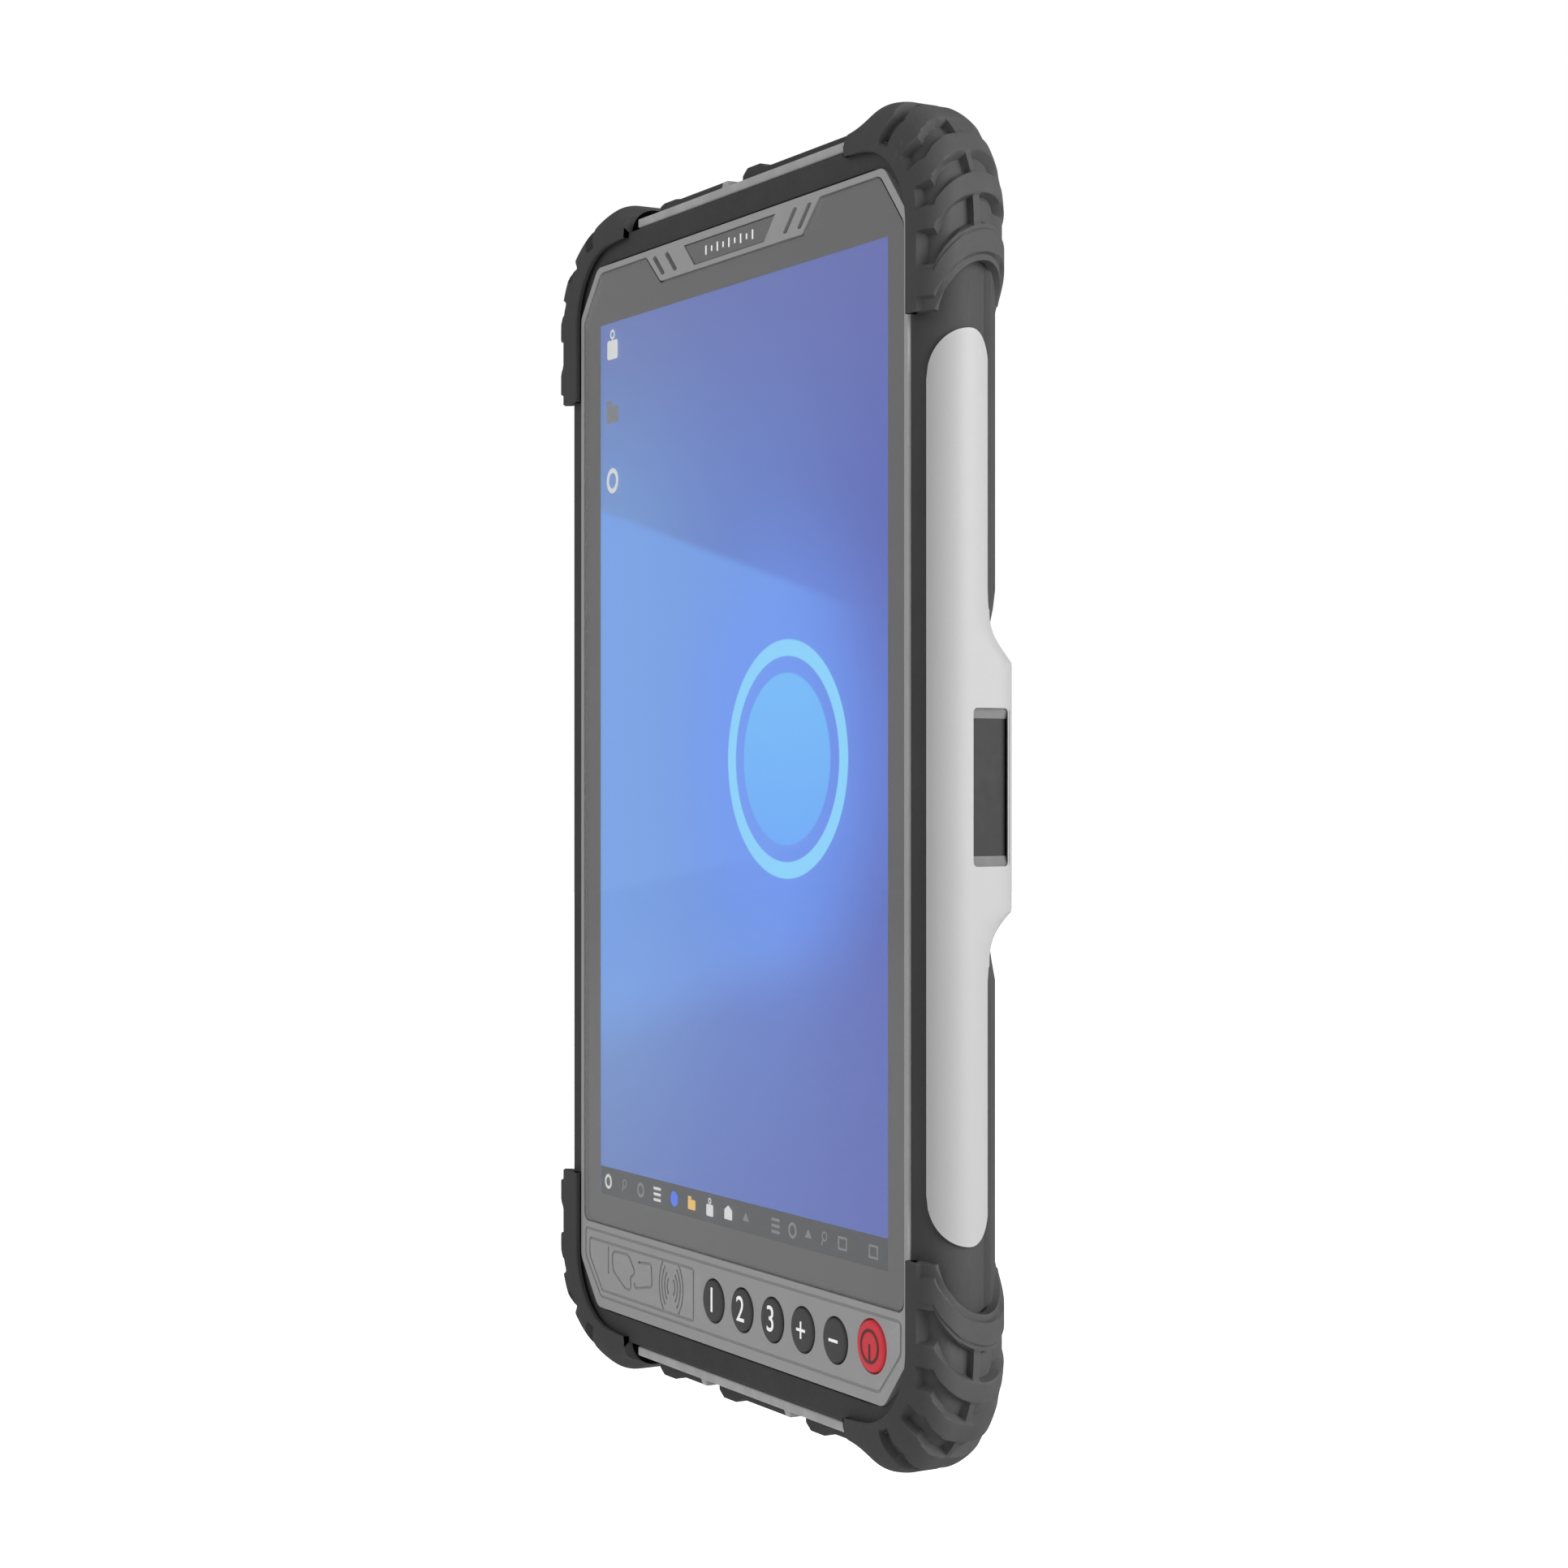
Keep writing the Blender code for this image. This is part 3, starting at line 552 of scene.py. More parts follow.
def carve(piece, cutter):
    boolean = piece.modifiers.new("carve", "BOOLEAN")
    boolean.operation = "DIFFERENCE"
    boolean.object = cutter
    result = meshOf(piece)
    piece.modifiers.remove(boolean)
    piece.data = result
    result.set_sharp_from_angle(angle=math.radians(12))
    bpy.data.objects.remove(cutter)


def plainObject(name, bm):
    return addObject(name, meshFrom(name, bm))


# tubes along (points, closed) paths, for round-bottomed grooves
def grooveCutter(paths, radius, level):
    curve = bpy.data.curves.new("grooves", "CURVE")
    curve.dimensions = "3D"
    curve.bevel_depth = radius * mm
    curve.bevel_resolution = 1
    curve.use_fill_caps = True
    for points, closed in paths:
        spline = curve.splines.new("POLY")
        spline.points.add(len(points) - 1)
        for point, (x, z) in zip(spline.points, points):
            point.co = (*at(x, level, z), 1)
        spline.use_cyclic_u = closed
    guide = addObject("grooves", curve)
    mesh = meshOf(guide)
    bpy.data.objects.remove(guide)
    bm = bmesh.new()
    bm.from_mesh(mesh)
    bmesh.ops.remove_doubles(bm, verts=bm.verts, dist=1e-7)
    bmesh.ops.recalc_face_normals(bm, faces=bm.faces)
    return plainObject("grooveCutter", bm)


def smoothStep(value, start, end):
    t = max(0.0, min(1.0, (value - start) / (end - start)))
    return t * t * (3 - 2 * t)


# Bezel with its tab, slots, key holes and engraved lines
bezel = {
    "halfWidth": 61.15, "halfHeight": 103.1, "cut": (7.5, 9.0), "front": -8.5, "back": -4.6,
    "glassHalf": 59.65, "glassLow": -86.4, "glassHigh": 101.7,
    "tabTop": 33.0, "tabFoot": 27.0, "tabLow": 96.2,
    "keyX": (-5.4, 5.4, 16.4, 27.1, 38.1), "keyZ": -94.6, "keyRadius": 3.8,
    "powerX": 49.9, "powerZ": -93.6, "powerRadius": 4.35, "groove": 0.3, "grooveSunk": 0.1,
}


def bezelOutline():
    wide, high = bezel["halfWidth"], bezel["halfHeight"]
    cutX, cutZ = bezel["cut"]
    quarter = [(wide, high - cutZ, 3.0), (wide - cutX, high, 3.0)]
    corners = quarter + [(-x, z, r) for x, z, r in reversed(quarter)]
    corners += [(-x, -z, r) for x, z, r in quarter]
    corners += [(x, -z, r) for x, z, r in reversed(quarter)]
    return rounded(corners, 8)


def glassOutline(grow):
    wide = bezel["glassHalf"] + grow
    top = bezel["glassHigh"] + grow
    cutX, cutZ = bezel["cut"]
    tab = [(bezel["tabTop"] - grow, top, 0.8), (bezel["tabFoot"] - grow, bezel["tabLow"] + grow, 0.8)]
    right = [(wide, bezel["glassLow"] - grow, 2.0), (wide, top - cutZ, 2.6), (wide - cutX, top, 2.6)]
    return rounded(right + tab + [(-x, z, r) for x, z, r in reversed(right + tab)], 6)


def nameplateOutline(grow):
    return [(-13.1 - grow, 97.5 - grow), (13.1 + grow, 97.5 - grow),
            (17.2 + grow, 101.6 + grow), (-17.2 - grow, 101.6 + grow)]


def slotOutline(side, topX):
    corners = [(side * (topX - 0.8), 101.6, 0.3), (side * (topX + 0.8), 101.6, 0.3),
               (side * (topX - 3.2), 97.6, 0.3), (side * (topX - 4.8), 97.6, 0.3)]
    return rounded(corners, 3)


def ellipseArc(x, z, wide, high, start, end, steps=14):
    return [(x + wide * math.cos(math.radians(start + (end - start) * i / steps)),
             z + high * math.sin(math.radians(start + (end - start) * i / steps)))
            for i in range(steps + 1)]


# key panel line, tag reader field, a palm holding a card, and the reader's waves
def bezelGrooves():
    panel = rounded([(-59.0, -88.1, 0.8), (-59.0, -93.6, 2.0), (-52.2, -100.9, 2.0),
                     (52.2, -100.9, 2.0), (59.0, -93.6, 2.0), (59.0, -88.1, 0.8)], 5)
    field = rounded([(-57.2, -89.9, 0.5), (-57.2, -93.4, 1.0), (-51.6, -99.6, 1.0),
                     (-13.4, -99.6, 0.5), (-13.4, -89.9, 0.5)], 4)
    card = rounded([(-38.0, -97.2, 0.7), (-30.2, -95.8, 0.7), (-30.6, -91.4, 0.7),
                    (-36.2, -91.9, 0.7)], 3)
    palm = rounded([(-47.5, -91.2, 1.4), (-40.2, -91.0, 1.6), (-36.9, -94.4, 1.0),
                    (-39.4, -95.2, 0.6), (-38.9, -97.9, 0.9), (-41.8, -97.6, 0.9),
                    (-46.8, -95.0, 1.2)], 3)
    cuff = [(-48.9, -90.6), (-48.9, -96.0)]
    waves = [(ellipseArc(-22.4, -94.6, size, size * 1.25, start, start + 104), False)
             for size in (1.5, 2.6, 3.7, 4.8) for start in (-52, 128)]
    return [(panel, True), (field, True), (palm, True), (cuff, False)] + waves + [(card[:14], False)]


strip = {      # depths of the nameplate, its tick marks and the speaker's dust screen
    "plate": (-8.3, -7.0), "ticks": (-8.36, -8.25), "tickStep": 2.2, "tickZ": 99.5,
    "upright": (-6.3, -6.1), "level": (-6.05, -5.85), "wires": 42,
}


def makeBezel():
    holes = [glassOutline(0.3), nameplateOutline(0.12)]
    holes += [slotOutline(side, topX) for side in (-1, 1) for topX in (29.5, 24.5)]
    holes += [circle(x, bezel["keyZ"], bezel["keyRadius"] + 0.35) for x in bezel["keyX"]]
    holes.append(circle(bezel["powerX"], bezel["powerZ"], bezel["powerRadius"] + 0.35))
    piece = plate("bezelFrame", "bezelGrey", bezelOutline(), bezel["front"], bezel["back"], holes,
                  edge=0.3, ends="low", nodes=["front_bezel"], slotName="bezel")
    for path in bezelGrooves():
        carve(piece, grooveCutter([path], bezel["groove"], bezel["front"] + bezel["grooveSunk"]))

    plate("blankNameplate", "nameplateGrey", nameplateOutline(0), *strip["plate"], edge=0.15,
          nodes=["nameplate"], slotName="nameplate")
    bm = bmesh.new()
    for index in range(-4, 5):
        x, half = index * strip["tickStep"], (0.5 if index % 2 else 0.85)
        slab(bm, box2d(x - 0.22, x + 0.22, strip["tickZ"] - half, strip["tickZ"] + half),
             *strip["ticks"], edge=0)
    # the ticks glow with painted light
    makePiece("nameplateTicks", bm, "legendWhitePaintedGlow")

    bm = bmesh.new()      # woven dust screen behind the speaker slots
    for index in range(strip["wires"]):
        x = -30.5 + index * 61.0 / (strip["wires"] - 1)
        slab(bm, box2d(x - 0.28, x + 0.28, 97.0, 102.0), *strip["upright"], edge=0)
    for index in range(5):
        z = 97.5 + index
        slab(bm, box2d(-31.0, 31.0, z - 0.22, z + 0.22), *strip["level"], edge=0)
    makePiece("speakerScreen", bm, "screwSteel", nodes=["speaker_mesh"])


makeBezel()
print("bezel ready")


# Glass, printed border, display and what it shows
layers = {      # front and back of each
    "glass": (-8.32, -7.2), "border": (-7.15, -7.05), "icons": (-7.03, -7.0), "bar": (-6.98, -6.93),
    "panel": (-6.9, -4.7),
}


def makeDisplay():
    half, low, high = screen["half"], screen["low"], screen["high"]
    plate("coverGlassPane", "coverGlass", glassOutline(0), *layers["glass"], edge=0.2,
          nodes=["cover_glass"], slotName="cover_glass")
    # the printed border shines with painted light from its finish's glow
    plate("printedBorder", "inkGreyPaintedGlow", glassOutline(0.2), *layers["border"],
          [box2d(-half, half, low, high, 0.3)], edge=0, slotName="nameplate")
    plate("displayPanel", "screenPicture", box2d(-half - 0.6, half + 0.6, low - 0.6, high + 0.6, 0.5),
          *layers["panel"], edge=0.2, nodes=["lcd_panel"], slotName="display")
    plate("desktopBar", "barSlate", box2d(-half, half, low - 0.3, screen["barTop"]), *layers["bar"],
          edge=0, slotName="display")


iconShapes = {      # an outline and its holes for each part of an icon of size 1
    "ring": [(circle(0, 0, 1, 24), circle(0, 0, 0.62, 24))],
    "disc": [(circle(0, 0, 1, 24),)],
    "bars": [(box2d(-1, 1, step - 0.18, step + 0.18),) for step in (-0.75, 0, 0.75)],
    "bag": [(box2d(-0.9, 0.9, -1, 0.5, 0.2, 3),),
            (circle(0, 0.95, 0.4, 16), circle(0, 0.95, 0.22, 16))],
    "letter": [([(-1, -0.8), (1, -0.8), (1, 0.4), (0, 1), (-1, 0.4)],)],
    "lens": [(circle(0, 0.3, 0.6, 18), circle(0, 0.3, 0.42, 18)),
             ([(-0.8, -0.7), (-0.6, -0.9), (-0.3, -0.3), (-0.45, -0.15)],)],
    "wedge": [([(-0.8, -0.4), (0.8, -0.4), (0, 0.7)],)],
    "pad": [(box2d(-1, 1, -0.8, 0.8), box2d(-0.75, 0.75, -0.55, 0.55))],
    "folder": [(box2d(-1, 1, -0.8, 0.5, 0.12, 2),), (box2d(-1, -0.1, 0.55, 0.9),)],
}
icons = {      # places along the bar
    "iconPale": [("ring", -50.5), ("bars", -29.6), ("bag", -8.5), ("letter", -1.4)],
    "iconDim": [("lens", -43.4), ("ring", -36.5), ("wedge", 5.2), ("bars", 16.0), ("ring", 22.0),
                ("wedge", 27.5), ("lens", 33.0), ("pad", 39.0), ("pad", 49.0)],
    "iconAmber": [("folder", -15.6)],
    "iconBlue": [("disc", -22.6)],
}
desktopIcons = {      # heights down the left side
    "iconPale": [("bag", 87.0), ("ring", 60.5)],
    "iconDim": [("folder", 74.0)],
}


def drawIcon(bm, kind, x, z, size):
    for loops in iconShapes[kind]:
        outline, *holes = [[(x + a * size, z + b * size) for a, b in loop] for loop in loops]
        slab(bm, outline, *layers["icons"], holes, edge=0)


def makeIcons():
    for finishName, row in icons.items():
        bm = bmesh.new()
        for kind, x in row:
            drawIcon(bm, kind, x, screen["barIcons"], 1.45)
        for kind, z in desktopIcons.get(finishName, ()):
            drawIcon(bm, kind, screen["sideIcons"], z, 2.5)
        makePiece("desktop" + finishName[0].upper() + finishName[1:], bm, finishName)


makeDisplay()
makeIcons()
print("display ready")


# Keys with crowned caps and generic legends
def textMesh(bm, body, x, z, size, level):
    curve = bpy.data.curves.new("legend", "FONT")
    curve.body = body
    curve.size = size * mm
    curve.align_x = "CENTER"
    curve.align_y = "CENTER"
    curve.extrude = 0.03 * mm
    curve.resolution_u = 6
    guide = addObject("legend", curve)
    mesh = meshOf(guide)
    bpy.data.objects.remove(guide)
    before = set(bm.verts)
    bm.from_mesh(mesh)
    fresh = [v for v in bm.verts if v not in before]
    stand = Matrix.Translation(at(x, level, z)) @ Matrix.Rotation(math.pi / 2, 4, "X")
    bmesh.ops.transform(bm, verts=fresh, matrix=stand)
    bmesh.ops.remove_doubles(bm, verts=fresh, dist=1e-7)


keys = {
    "front": -9.0, "shoulder": -4.2, "back": -3.7, "flange": 0.9, "round": 0.55, "crown": 0.06,
    "names": ("function_key_1", "function_key_2", "function_key_3", "volume_up_key",
              "volume_down_key"),
    "legends": "123+-", "legendSize": 6.6, "legend": (-9.03, -8.9), "symbol": (-9.03, -8.88),
}


def makeKey(name, x, z, radius, finishName):
    front, soft = keys["front"], keys["round"]
    crown = [(0.0, front), (radius * 0.5, front + 0.01)]
    crown += [(radius - soft + soft * math.sin(a), front + keys["crown"] + soft * (1 - math.cos(a)))
              for a in (math.radians(15 * step) for step in range(7))]
    crown += [(radius, keys["shoulder"]), (radius + keys["flange"], keys["shoulder"]),
              (radius + keys["flange"], keys["back"]), (0.0, keys["back"])]
    bm = bmesh.new()
    spun(bm, x, z, crown)
    makePiece(name + "Cap", bm, finishName, body=name, nodes=[name], sharp=30)


def makeKeys():
    z = bezel["keyZ"]
    for name, legend, x in zip(keys["names"], keys["legends"], bezel["keyX"]):
        makeKey(name, x, z, bezel["keyRadius"], "keyBlack")
        bm = bmesh.new()
        if legend.isdigit():
            textMesh(bm, legend, x, z, keys["legendSize"], keys["front"])
        else:
            slab(bm, box2d(x - 1.5, x + 1.5, z - 0.25, z + 0.25), *keys["legend"], edge=0)
        if legend == "+":
            for low, high in ((z - 1.5, z - 0.25), (z + 0.25, z + 1.5)):
                slab(bm, box2d(x - 0.25, x + 0.25, low, high), *keys["legend"], edge=0)
        # the legends glow with painted light
        makePiece(name + "Legend", bm, "legendWhitePaintedGlow", body=name)
    x, z = bezel["powerX"], bezel["powerZ"]
    # the red cap carries a slight painted glow
    makeKey("power_key", x, z, bezel["powerRadius"], "keyRedPaintedGlow")
    bm = bmesh.new()
    slab(bm, circle(x, z, 2.95), *keys["symbol"], [circle(x, z, 2.4)], edge=0)
    slab(bm, box2d(x - 0.3, x + 0.3, z - 2.35, z + 0.4), *keys["symbol"], edge=0)
    makePiece("power_keyLegend", bm, "legendBrown", body="power_key")


makeKeys()
print("keys ready")


# Housing: a barrel-edged front rim and a rear shell, both swept round the body
housing = {
    "left": -67.9, "right": 67.7, "halfHeight": 109.2, "corner": 19.0,
    "front": -7.95, "seam": -1.0, "back": 6.4, "rollRight": 6.9, "rollLeft": 2.6, "rollEnd": 1.4,
    "lipSide": 6.3, "lipEnd": 5.6, "recess": (105.0, 112.0), "floor": (105.8, 106.8),
    "shellFront": 4.3,
}


covers = (
    ("top_cover_left", -37.0, -10.0, 1), ("top_cover_right", -4.0, 39.5, 1),
    ("bottom_cover_left", -37.0, -18.0, -1), ("bottom_cover_middle", -13.0, 13.0, -1),
    ("bottom_cover_right", 19.0, 39.5, -1),
)
ports = {   # middle, width and thickness of the connectors behind each cover
    "top_cover_left": ((-28.0, 9.0, 3.2), (-18.5, 5.0, 3.4)),
    "top_cover_right": ((9.0, 6.6, 3.0), (26.0, 7.6, 2.6)),
    "bottom_cover_left": ((-27.5, 11.0, 1.9),),
    "bottom_cover_middle": ((0.0, 13.0, 3.0),),
    "bottom_cover_right": ((29.5, 9.0, 1.9),),
}


# points and outward normals, evenly spaced along a rounded rectangle
def roundedPath(left, right, halfHeight, corner, count):
    middle = (left + right) / 2
    straights = ((right - left) / 2 - corner, halfHeight - corner)
    arc = corner * math.pi / 2
    total = 4 * (sum(straights) + arc)

    def point(s):
        for quarter, (nx, nz) in enumerate(((1, 0), (0, 1), (-1, 0), (0, -1))):
            outward, sideways = straights[::-1] if quarter % 2 else straights
            if s <= 2 * sideways:
                reach, slide = outward + corner, s - sideways
                return middle + nx * reach - nz * slide, nz * reach + nx * slide, nx, nz
            s -= 2 * sideways
            if s <= arc or quarter == 3:
                break
            s -= arc
        angle = quarter * math.pi / 2 + s / corner
        ax, az = math.cos(angle), math.sin(angle)
        return (middle + nx * outward - nz * sideways + corner * ax,
                nz * outward + nx * sideways + corner * az, ax, az)

    return [point(total * i / count) for i in range(count)]


# closed tube: section(nx, nz, z) gives its (outward, y) points
def sweptRing(bm, path, section):
    count = len(path)
    depth = len(section(1, 0, 0))

    def where(u, v):
        x, z, nx, nz = path[round(u * count) % count]
        outward, y = section(nx, nz, z)[round(v * depth) % depth]
        return at(x + nx * outward, y, z + nz * outward)

    mapped(bm, count, depth, where)
    bmesh.ops.remove_doubles(bm, verts=bm.verts, dist=1e-7)
    bmesh.ops.recalc_face_normals(bm, faces=bm.faces)


def rollWidth(nx, nz):
    side = housing["rollRight"] if nx > 0 else housing["rollLeft"]
    return side * nx * nx + housing["rollEnd"] * nz * nz


doorPlan = {"outline": (-56.0, 14.0, -68.0, 56.0), "front": 5.3, "back": 6.55,
            "screws": ((-50.0, -64.2), (8.0, -64.2), (-50.0, 52.2), (8.0, 52.2))}
rearParts = {"camera": (-45.0, 80.0), "flash": (-33.0, 80.0), "scannerBay": (42.0, 58.0, -16.0, 16.0),
             "housingScrews": ((-38.0, 103.5), (38.0, 103.5), (-38.0, -103.5),
                               (38.0, -103.5), (-59.5, 64.0), (-59.5, -74.0))}


def makeHousing():
    path = roundedPath(housing["left"], housing["right"], housing["halfHeight"], housing["corner"], 220)
    seam, front, back = housing["seam"], housing["front"], housing["back"]

    def frontSection(nx, nz, _):
        roll = rollWidth(nx, nz)
        inner = housing["lipSide"] * nx * nx + housing["lipEnd"] * nz * nz
        reach = inner + 2.0      # tucks under the bezel, short of the keys
        arc = [(-roll * (1 - math.cos(a)), seam + (front - seam) * math.sin(a))
               for a in (math.radians(82.0 * step / 10) for step in range(11))]
        return arc + [(-inner, front), (-inner - 0.1, front + 1.0), (-reach, front + 1.0),
                      (-reach, front + 1.8), (-inner - 0.4, front + 2.0), (-inner - 0.4, seam),
                      (-1.5, seam)]

    def rearSection(nx, nz, z):
        roll = rollWidth(nx, nz)
        arc = []
        for step in range(31):
            turn = 3.0 * step
            bulge = smoothStep(turn, 25, 34) * (1.25 - 0.4 * turn / 90) * smoothStep(abs(z), 26, 32)
            bulge = max(0.0, nx) ** 2 * (bulge - 1.6 * (1 - smoothStep(abs(z), 18, 24)))
            across, up = math.cos(math.radians(turn)), math.sin(math.radians(turn))
            arc.append(((roll + bulge) * across - roll, seam + 0.02 + (back - seam + bulge) * up))
        return arc + [(-roll - 0.5, back), (-roll - 0.5, 4.2), (-2.2, 3.6), (-1.8, seam + 0.02)]

    bm = bmesh.new()
    sweptRing(bm, path, frontSection)
    makePiece("frontRim", bm, "housingDark", nodes=["front_frame"], sharp=25)
    bm = bmesh.new()
    sweptRing(bm, path, rearSection)
    rim = makePiece("rearRim", bm, "housingDark", sharp=25)
    sockets = bmesh.new()
    for name, first, last, side in covers:      # recesses with a floor round each connector
        low, high = sorted(side * level for level in housing["recess"])
        bm = bmesh.new()
        slab(bm, box2d(first + 4.5, last - 6.0, -0.3, 4.3, 1.0), low, high, edge=0, along="Z")
        carve(rim, plainObject("recessCutter", bm))
        low, high = sorted(side * level for level in housing["floor"])
        holes = [box2d(x - wide / 2, x + wide / 2, 2 - thick / 2, 2 + thick / 2, 0.5, 3)
                 for x, wide, thick in ports[name]]
        slab(sockets, box2d(first + 4.2, last - 5.7, -0.6, 4.6, 1.2), low, high, holes, edge=0,
             along="Z")
    makePiece("socketFloors", sockets, "moduleBlack")

    outline = [(x - nx * (rollWidth(nx, nz) + 0.4), z - nz * (rollWidth(nx, nz) + 0.4))
               for x, z, nx, nz in path]
    door = doorPlan["outline"]
    holes = [box2d(door[0] - 0.3, door[1] + 0.3, door[2] - 0.3, door[3] + 0.3, 3.3),
             circle(*rearParts["camera"], 5.0), circle(*rearParts["flash"], 2.2, 24),
             box2d(*rearParts["scannerBay"])]
    holes += [circle(x, z, 2.4, 24) for x, z in rearParts["housingScrews"]]
    plate("rearShell", "housingDark", outline, housing["shellFront"], back, holes, edge=0.3,
          ends="high", nodes=["rear_housing"], slotName="housing")


makeHousing()
print("housing ready")


# Side grip: a light shell with arched ends, a scanner hump and its window
grip = {
    "centre": (60.8, -1.0), "radius": 7.7, "frontAngle": 56.7, "thick": 0.75,
    "endMiddle": 75.0, "endEdge": 66.5, "rearAngle": 38.0, "tuck": 0.9, "backY": 6.7,
    "humpBack": 9.5, "humpRound": 5.2, "humpTop": 20.5, "humpFoot": 28.5, "humpInner": 38.6,
    "window": (-0.5, 6.7, -13.0, 13.0), "windowCut": (62.0, 72.0), "rim": (65.6, 67.74),
    "pane": (66.3, 67.1), "side": 0.35, "rear": 0.85,      # where the section's stretches meet
}


# t runs from the front edge, 0, to the back, 1; lift is the hump's share
def gripSection(t, lift, sink):
    cx, cy = grip["centre"]
    radius = grip["radius"] - sink
    if t <= grip["side"]:
        angle = math.radians(grip["frontAngle"]) * (1 - t / grip["side"])
        return cx + radius * math.cos(angle), cy - radius * math.sin(angle)
    if t <= grip["rear"]:
        share = (t - grip["side"]) / (grip["rear"] - grip["side"])
        angle = share * math.radians(grip["rearAngle"])
        plain = (cx + radius * math.cos(angle), cy + radius * math.sin(angle))
        turn = grip["humpRound"]
        top = grip["humpBack"]
        straight = top - turn - cy
        if share < 0.45:
            raised = (cx + radius, cy + straight * share / 0.45)
        else:
            angle = (share - 0.45) / 0.55 * math.pi / 2
            arm = turn - sink
            raised = (cx + grip["radius"] - turn + arm * math.cos(angle),
                      top - turn + arm * math.sin(angle))
    else:
        share = (t - grip["rear"]) / (1 - grip["rear"])
        angle = math.radians(grip["rearAngle"])
        tucked = radius - grip["tuck"] * share
        plain = (cx + tucked * math.cos(angle), cy + tucked * math.sin(angle))
        start = cx + grip["radius"] - grip["humpRound"]
        if share < 0.7:
            raised = (start + (grip["humpInner"] + 3.0 - start) * share / 0.7, grip["humpBack"] - sink)
        else:
            slope = (share - 0.7) / 0.3
            raised = (grip["humpInner"] + 3.0 * (1 - slope), grip["humpBack"] - sink
                      - (grip["humpBack"] - grip["backY"] + 0.2) * smoothStep(slope, 0, 1))
    return (plain[0] + (raised[0] - plain[0]) * lift, plain[1] + (raised[1] - plain[1]) * lift)


def humpLift(z):
    share = (grip["humpFoot"] - abs(z)) / (grip["humpFoot"] - grip["humpTop"])
    share = max(0.0, min(1.0, share))
    if z > 0:
        return share * share * (1.6 - 0.6 * share)
    return share ** 1.9


def gripPoint(sink):
    def where(u, v):
        bend = (v - grip["side"]) / (grip["side"] if v < grip["side"] else 0.47)
        rise = grip["endMiddle"] - grip["endEdge"]
        end = grip["endEdge"] + rise * math.sqrt(max(0.0, 1 - bend ** 2))
        z = (end - sink * 0.3) * (2 * u - 1)
        x, y = gripSection(v, humpLift(z), sink)
        return at(x, y, z)
    return where


def makeGrip():
    bm = bmesh.new()
    shellBetween(bm, 220, 72, gripPoint(0.0), gripPoint(grip["thick"]))
    piece = makePiece("sideGripShell", bm, "gripGrey", nodes=["side_grip"])
    low, high, bottom, top = grip["window"]
    bm = bmesh.new()
    slab(bm, box2d(low, high, bottom, top, 0.8), *grip["windowCut"], edge=0, along="X")
    carve(piece, plainObject("windowCutter", bm))
    bm = bmesh.new()
    slab(bm, box2d(low - 0.9, high + 0.5, bottom - 0.9, top + 0.9, 1.6), *grip["rim"],
         [box2d(low, high, bottom, top, 0.8)], edge=0.1, along="X")
    for side in (-1, 1):      # sloped lips above and below the pane
        lip = [(66.0, side * 13.3), (67.7, side * 13.3), (67.7, side * 12.9), (67.25, side * 11.3),
               (66.0, side * 11.3)]
        slab(bm, lip, low - 0.2, high + 0.2, edge=0)
    makePiece("windowRim", bm, "silicone")
    plate("scanPane", "paneDark", box2d(low - 0.5, high + 0.4, bottom - 0.5, top + 0.5, 1.0),
          *grip["pane"], edge=0.1, along="X", nodes=["scan_window"], slotName="smoked_window")


makeGrip()
print("grip ready")


# Corner bumpers: ribbed rubber wrapped round each corner
bumper = {
    "halfWidth": 70.5, "halfHeight": 115.5, "corner": 23.0, "startZ": 77.5, "endX": 41.3,
    "front": -9.5, "back": 7.5, "collarArch": 8.5, "wall": 2.4,
    "pockets": ((10.1, 2.6), (19.4, 2.1), (28.9, 2.3), (40.0, 1.8)), "pocketDepth": 1.7,
    "nubHalf": 0.65, "endDrop": 2.6, "collar": ((1.9, 2.3), (6.2, 6.5), (12.7, 13.2)),
}


# point and normal along the outer corner line, from the side to the end
def bumperPath(s):
    straight = bumper["halfHeight"] - bumper["corner"] - bumper["startZ"]
    cx, cz = bumper["halfWidth"] - bumper["corner"], bumper["halfHeight"] - bumper["corner"]
    arc = bumper["corner"] * math.pi / 2
    if s < straight:
        return bumper["halfWidth"], bumper["startZ"] + s, 1.0, 0.0
    if s < straight + arc:
        angle = (s - straight) / bumper["corner"]
        nx, nz = math.cos(angle), math.sin(angle)
        return cx + bumper["corner"] * nx, cz + bumper["corner"] * nz, nx, nz
    return cx - (s - straight - arc), bumper["halfHeight"], 0.0, 1.0


def bumperLength():
    straights = (bumper["halfHeight"] - bumper["startZ"]) + (bumper["halfWidth"] - bumper["endX"])
    return straights + bumper["corner"] * (math.pi / 2 - 2)


def frontRoll(right, nx, nz):
    return (5.0 if right > 0 else 2.6) * nx * nx + 7.4 * nz * nz


